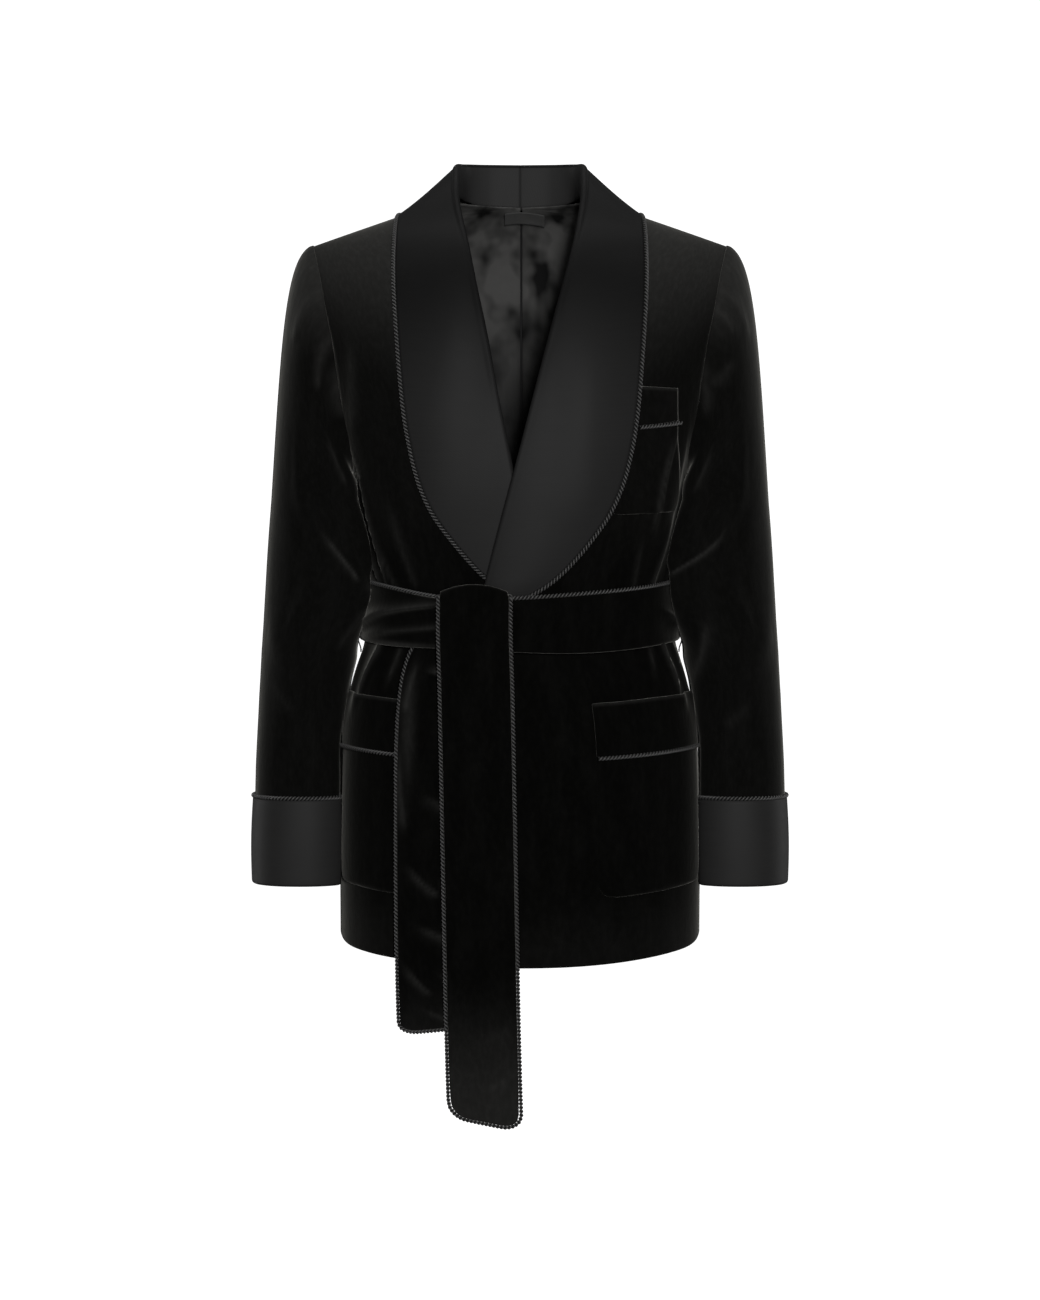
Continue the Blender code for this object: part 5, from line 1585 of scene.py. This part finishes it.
def cord_finish():
    """Black rayon cord: painted highlight on the crown of each strand, painted shade between them, with fine
    threads along it.
    """
    cloth = Finish("cord")
    thread = cloth.noise((1, 0.10, 1), 3000.0, 1.0)
    # painted highlight and shade across each strand
    crown = cloth.ramp(cloth.nap(), 0.30, 0.95)
    light = crown * (0.6 + 0.6 * thread)
    return cloth.done({
        "Base Color": cloth.blend(light, (0.0010, 0.0010, 0.0010), (0.0800, 0.0790, 0.0780)),
        "Roughness": 0.52 - 0.14 * crown + 0.10 * thread,
        "Normal": cloth.bump(thread, 0.0002, 0.40),
        "Specular IOR Level": 0.40,
    })


def label_finish():
    """Bare woven label: grey ribbon with a fine rib across it."""
    cloth = Finish("label")
    rib = cloth.lines("Y", 0.0011)
    cloud = cloth.noise((1, 1, 1), 60.0, 3.0)
    return cloth.done({
        "Base Color": cloth.blend(0.6 * cloud + 0.4 * rib, (0.030, 0.030, 0.030), (0.085, 0.084, 0.082)),
        "Roughness": 0.55 + 0.15 * cloud,
        "Normal": cloth.bump(rib, 0.0002, 0.4),
        "Specular IOR Level": 0.20,
    })


def backing_finish():
    """Wrong side of the velvet: dull black cotton with a plain weave."""
    cloth = Finish("velvet_back")
    weft = cloth.lines("X", 0.0010)
    warp = cloth.lines("Y", 0.0010)
    cloud = cloth.noise((1, 1, 1), 30.0, 3.0)
    light = 0.5 * cloud + 0.25 * weft + 0.25 * warp
    return cloth.done({
        "Base Color": cloth.blend(light, (0.0070, 0.0070, 0.0072), (0.0160, 0.0160, 0.0164)),
        "Roughness": 0.82 + 0.1 * cloud,
        "Normal": cloth.bump(weft + warp, 0.0002, 0.3),
        "Specular IOR Level": 0.25,
    })


# Pieces


def attach(piece, node):
    """Put a piece on the frame in place of its node."""
    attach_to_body(piece, "root")
    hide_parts(node)


def sewn_piece(piece, node, grid, rests_on=()):
    """Put a cloth piece on the frame in place of its node.

    The grid's longest row and column and the sides of its cells are worked out, but nothing uses them.
    """
    across, down = running(grid, 1)[:, -1].max(), running(grid, 0)[-1].max()
    one, two = grid[:-1, 1:] - grid[:-1, :-1], grid[1:, :-1] - grid[:-1, :-1]
    attach(piece, node)


def sewn_cord(name, node, path, up, thread, **shape):
    """Twisted cord on the frame in place of its node."""
    piece = twisted_cord(name, path, up, thread, **shape)
    attach(piece, node)
    return piece


def make_torso(finish, side, word):
    """A front, a back half and its lining."""
    velvet = (finish["velvet"], finish["backing"])
    outer, inner, nap = front_panel(side)
    piece = shell("velvet_front_" + word, outer, inner, *velvet, nap)
    sewn_piece(piece, "front_" + word, outer)

    levels = even_levels(BACK_GRID[0], 0.0, TOP_LEVEL, math.pi - PANEL_LINE)
    outer, inner, nap = back_panel(side, 0.0, VELVET, levels, BACK_GRID[1], 1.0, 0.0, BACK_NECK)
    piece = shell("velvet_back_" + word, outer, inner, *velvet, nap)
    sewn_piece(piece, "back_" + word, outer)

    levels = even_levels(LINING_GRID[0], *LINING_LEVELS, math.pi - PANEL_LINE)
    cut = (LINING_GRID[1], 0.0, LINING_SEAM_X, LINING_NECK)
    outer, inner, _ = back_panel(side, LINING_OUT, LINING, levels, *cut)
    # painted shade: the lining darker towards the waist
    painted_light_tone = ease((outer[..., 2] - LINING_SHADE_Z) / LINING_SHADE_RUN)
    piece = shell("lining_" + word, outer, inner, finish["lining"], nap=painted_light_tone)
    sewn_piece(piece, "lining_back_" + word, outer, ["velvet_back_" + word])


def make_sleeve(finish, side, word):
    """Both pieces of a sleeve, its turned-back cuff and the cuff's cord."""
    for part, first, last, columns in SLEEVE_PIECES:
        outer, inner, nap = sleeve_panel(first, last, columns, side)
        name = "sleeve_" + word + "_" + part
        piece = shell("velvet_" + name, outer, inner, finish["velvet"], finish["backing"], nap)
        sewn_piece(piece, name, outer)

    path = cuff_cord_path(side)
    up = unit(path - path.mean(0))
    cord = sewn_cord("cuff_cord_" + word, "cord_cuff_" + word, path, up, finish["cord"], closed=True)
    shown, hidden = cuff_panel(side)
    # even painted light on the cuff's satin
    painted_light_tone = np.full(shown.shape[:2], CUFF_PAINTED_LIGHT)
    piece = shell("satin_cuff_" + word, shown, hidden, finish["satin"], nap=painted_light_tone, wrap=True)
    sleeves = ["velvet_sleeve_" + word + "_top", "velvet_sleeve_" + word + "_under"]
    sewn_piece(piece, "cuff_" + word, ringed(shown), sleeves)


def make_collar(finish, side, word):
    """A collar half and its cord."""
    shown, hidden, painted_light_tone = collar_panel(side)
    path, up = collar_cord_path(side, shown, hidden)
    cord = sewn_cord("collar_cord_" + word, "cord_collar_" + word, path, up, finish["cord"])
    piece = shell("satin_collar_" + word, shown, hidden, finish["satin"], nap=painted_light_tone)
    sewn_piece(piece, "collar_" + word, shown, ["velvet_front_" + word])


def make_pockets(finish):
    """Patch pockets with their turned bands and the cord under each band."""
    for word, pocket in POCKETS.items():
        low, band, top = pocket["low"], pocket["band"], pocket["top"]
        front = "velvet_front_left" if pocket["side"] > 0 else "velvet_front_right"
        shape = (PATCH_GAP, PATCH_PUFF, PATCH_CORNER, EDGE_DIP, PATCH_ROWS)
        outer, inner, nap = patch(pocket, low, top - BAND_TURN, *shape)
        piece = shell("velvet_pocket_" + word, outer, inner, finish["velvet"], nap=nap)
        sewn_piece(piece, "pocket_" + word, outer, [front])

        shape = (BAND_GAP, BAND_PUFF, 0.0, 0.0, BAND_ROWS, pocket["slant"])
        outer, inner, nap = patch(pocket, band, top, *shape)
        path, up = pocket_cord_path(pocket)
        cord = sewn_cord("pocket_cord_" + word, "cord_pocket_" + word, path, up, finish["cord"])
        # painted highlight along the band's top edge
        near_edge = (crowded(BAND_ROWS)[:, None] - BAND_EDGE_FROM) / (1 - BAND_EDGE_FROM)
        nap = nap + BAND_EDGE_HIGHLIGHT * ease(near_edge)
        piece = shell("velvet_band_" + word, outer, inner, finish["velvet"], nap=nap)
        sewn_piece(piece, "band_" + word, outer, ["velvet_pocket_" + word])


def make_belt(finish):
    """Sash round the waist with its cord, knot, two tails and the thread carriers."""
    outer, inner, nap = belt_band()
    cord = sewn_cord("belt_cord", "cord_belt_band", *belt_cord_path(), finish["cord"])
    piece = shell("velvet_belt_band", outer, inner, finish["velvet"], nap=nap, wrap=True)
    sewn_piece(piece, "belt_band", ringed(outer), ["velvet_front_left"])

    outer, inner = knot_points()
    piece = shell("velvet_belt_knot", outer, inner, finish["velvet"])
    sewn_piece(piece, "belt_knot", outer, ["velvet_belt_band"])

    for word, sections, creased, ends, corner, free, cord_row in TAILS:
        middle, nap = tail(sections, creased, *ends, corner, free)
        outer, inner = thickened(middle, BELT)
        path, up = tail_cord(middle[cord_row:])
        cord = sewn_cord("tail_cord_" + word, "cord_tail_" + word, path, up, finish["cord"])
        piece = shell("velvet_tail_" + word, outer, inner, finish["velvet"], nap=nap)
        sewn_piece(piece, "belt_tail_" + word, outer, ["velvet_belt_band"])

    for side, word in SIDES:
        path, up = loop_path(side)
        shape = {"radius": CARRIER_R, "lay": CARRIER_LAY}
        sewn_cord("belt_carrier_" + word, "belt_loop_" + word, path, up, finish["cord"], **shape)


def make_label(finish):
    """Bare label at the back neck."""
    outer, inner = label_points()
    piece = shell("neck_label_cloth", outer, inner, finish["label"])
    sewn_piece(piece, "neck_label", outer, ["lining_left", "lining_right"])


# Stage

CAMERA_DISTANCE = 3.5
CAMERA_RISE = math.radians(2.0)
CAMERA_AIM = (0.0, 0.0, -0.435)
FRAME_HEIGHT = 1.3
SENSOR = 36.0
FLOOR_Z = -1.16
FLOOR_R = 5.0
FLOOR_BEND = 0.8
WALL = 6.0
SWEEP_COLUMNS = 96
SWEEP_BEND_ROWS = 16
SURROUND = 0.12
WAIST = (0, 0, -0.40)
# Lights: name, place, aim, width and height, and power in watts
LIGHTS = (
    ("key", (0.28, -3.3, -0.15), WAIST, (0.14, 0.9), 46),
    ("neck_box", (0.28, -3.2, 0.42), (0, 0.05, 0), (0.14, 0.3), 26),
    ("front_box", (-1.3, -3.0, -0.5), WAIST, (1.6, 1.8), 4),
    ("top_box", (0, 0.5, 1.9), (0, 0, -0.2), (2.0, 1.2), 12),
    ("left_strip", (-1.7, 0.7, -0.2), WAIST, (0.5, 2.0), 12),
    ("right_strip", (1.7, 0.7, -0.2), WAIST, (0.5, 2.0), 12),
)


def add_light(name, place, aim, size, watts):
    """Soft rectangular light at a place, facing its aim."""
    light = bpy.data.lights.new(name, "AREA")
    light.shape = "RECTANGLE"
    light.size, light.size_y = size
    light.energy = watts
    thing = bpy.data.objects.new(name, light)
    bpy.context.collection.objects.link(thing)
    thing.location = place
    x, y, z = np.array(aim) - np.array(place)
    thing.rotation_euler = (math.pi / 2 + math.atan2(z, math.hypot(x, y)), 0, math.atan2(-x, y))


def make_stage():
    """White sweep: a round floor that curves up into a wall, as one profile turned about the upright axis."""
    bend = np.linspace(0, math.pi / 2, SWEEP_BEND_ROWS)
    radius = np.concatenate([[0.001], FLOOR_R + FLOOR_BEND * np.sin(bend), [FLOOR_R + FLOOR_BEND]])
    z = np.concatenate([[FLOOR_Z], FLOOR_Z + FLOOR_BEND * (1 - np.cos(bend)), [FLOOR_Z + WALL]])
    turn = np.linspace(0, 2 * math.pi, SWEEP_COLUMNS, endpoint=False)
    radius, z = radius[:, None], z[:, None]
    points = np.stack(np.broadcast_arrays(radius * np.cos(turn), radius * np.sin(turn), z), -1).reshape(-1, 3)
    index = np.arange(len(points)).reshape(len(z), SWEEP_COLUMNS)
    quads = grid_faces(ringed(index))[:, ::-1]
    mesh = bpy.data.meshes.new("sweep")
    mesh.from_pydata(points.tolist(), [], quads.tolist())
    mesh.polygons.foreach_set("use_smooth", np.ones(len(quads), bool))
    sweep = bpy.data.objects.new("sweep", mesh)
    bpy.context.collection.objects.link(sweep)
    paper = Finish("white_paper")
    grain = paper.node("ShaderNodeTexNoise", {}, {"Scale": 300.0})
    mesh.materials.append(paper.done({
        "Base Color": (0.90, 0.90, 0.90, 1),
        "Roughness": 0.85 + 0.1 * grain,
        "Emission Color": (1, 1, 1, 1),
        "Emission Strength": 1.0,
    }))
    sweep.visible_diffuse = False
    sweep.visible_glossy = False
    sweep.visible_shadow = False


def make_camera():
    """Camera at the photograph's angle, a little above the waist, with the frame's height on the sensor."""
    data = bpy.data.cameras.new("camera")
    data.sensor_fit = "VERTICAL"
    data.sensor_height = SENSOR
    data.lens = SENSOR * CAMERA_DISTANCE / FRAME_HEIGHT
    camera = bpy.data.objects.new("camera", data)
    bpy.context.collection.objects.link(camera)
    camera.location = (
        CAMERA_AIM[0],
        CAMERA_AIM[1] - CAMERA_DISTANCE * math.cos(CAMERA_RISE),
        CAMERA_AIM[2] + CAMERA_DISTANCE * math.sin(CAMERA_RISE),
    )
    camera.rotation_euler = (math.pi / 2 - CAMERA_RISE, 0, 0)
    bpy.context.scene.camera = camera


def make_lights():
    """Soft studio light: key, neck, front and top boxes, two side strips and a pale surround."""
    scene = bpy.context.scene
    scene.world = bpy.data.worlds.new("studio")
    scene.world.use_nodes = True
    surround = scene.world.node_tree.nodes["Background"]
    surround.inputs["Color"].default_value = (1, 1, 1, 1)
    surround.inputs["Strength"].default_value = SURROUND
    scene.view_settings.view_transform = "Standard"
    for row in LIGHTS:
        add_light(*row)


def main():
    """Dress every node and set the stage."""
    finish = {
        "velvet": velvet_finish(),
        "satin": satin_finish(),
        "lining": lining_finish(),
        "cord": cord_finish(),
        "label": label_finish(),
        "backing": backing_finish(),
    }
    make_camera()
    for side, word in SIDES:
        make_torso(finish, side, word)
        make_sleeve(finish, side, word)
        make_collar(finish, side, word)
    make_pockets(finish)
    make_belt(finish)
    make_label(finish)
    make_stage()
    make_lights()


main()
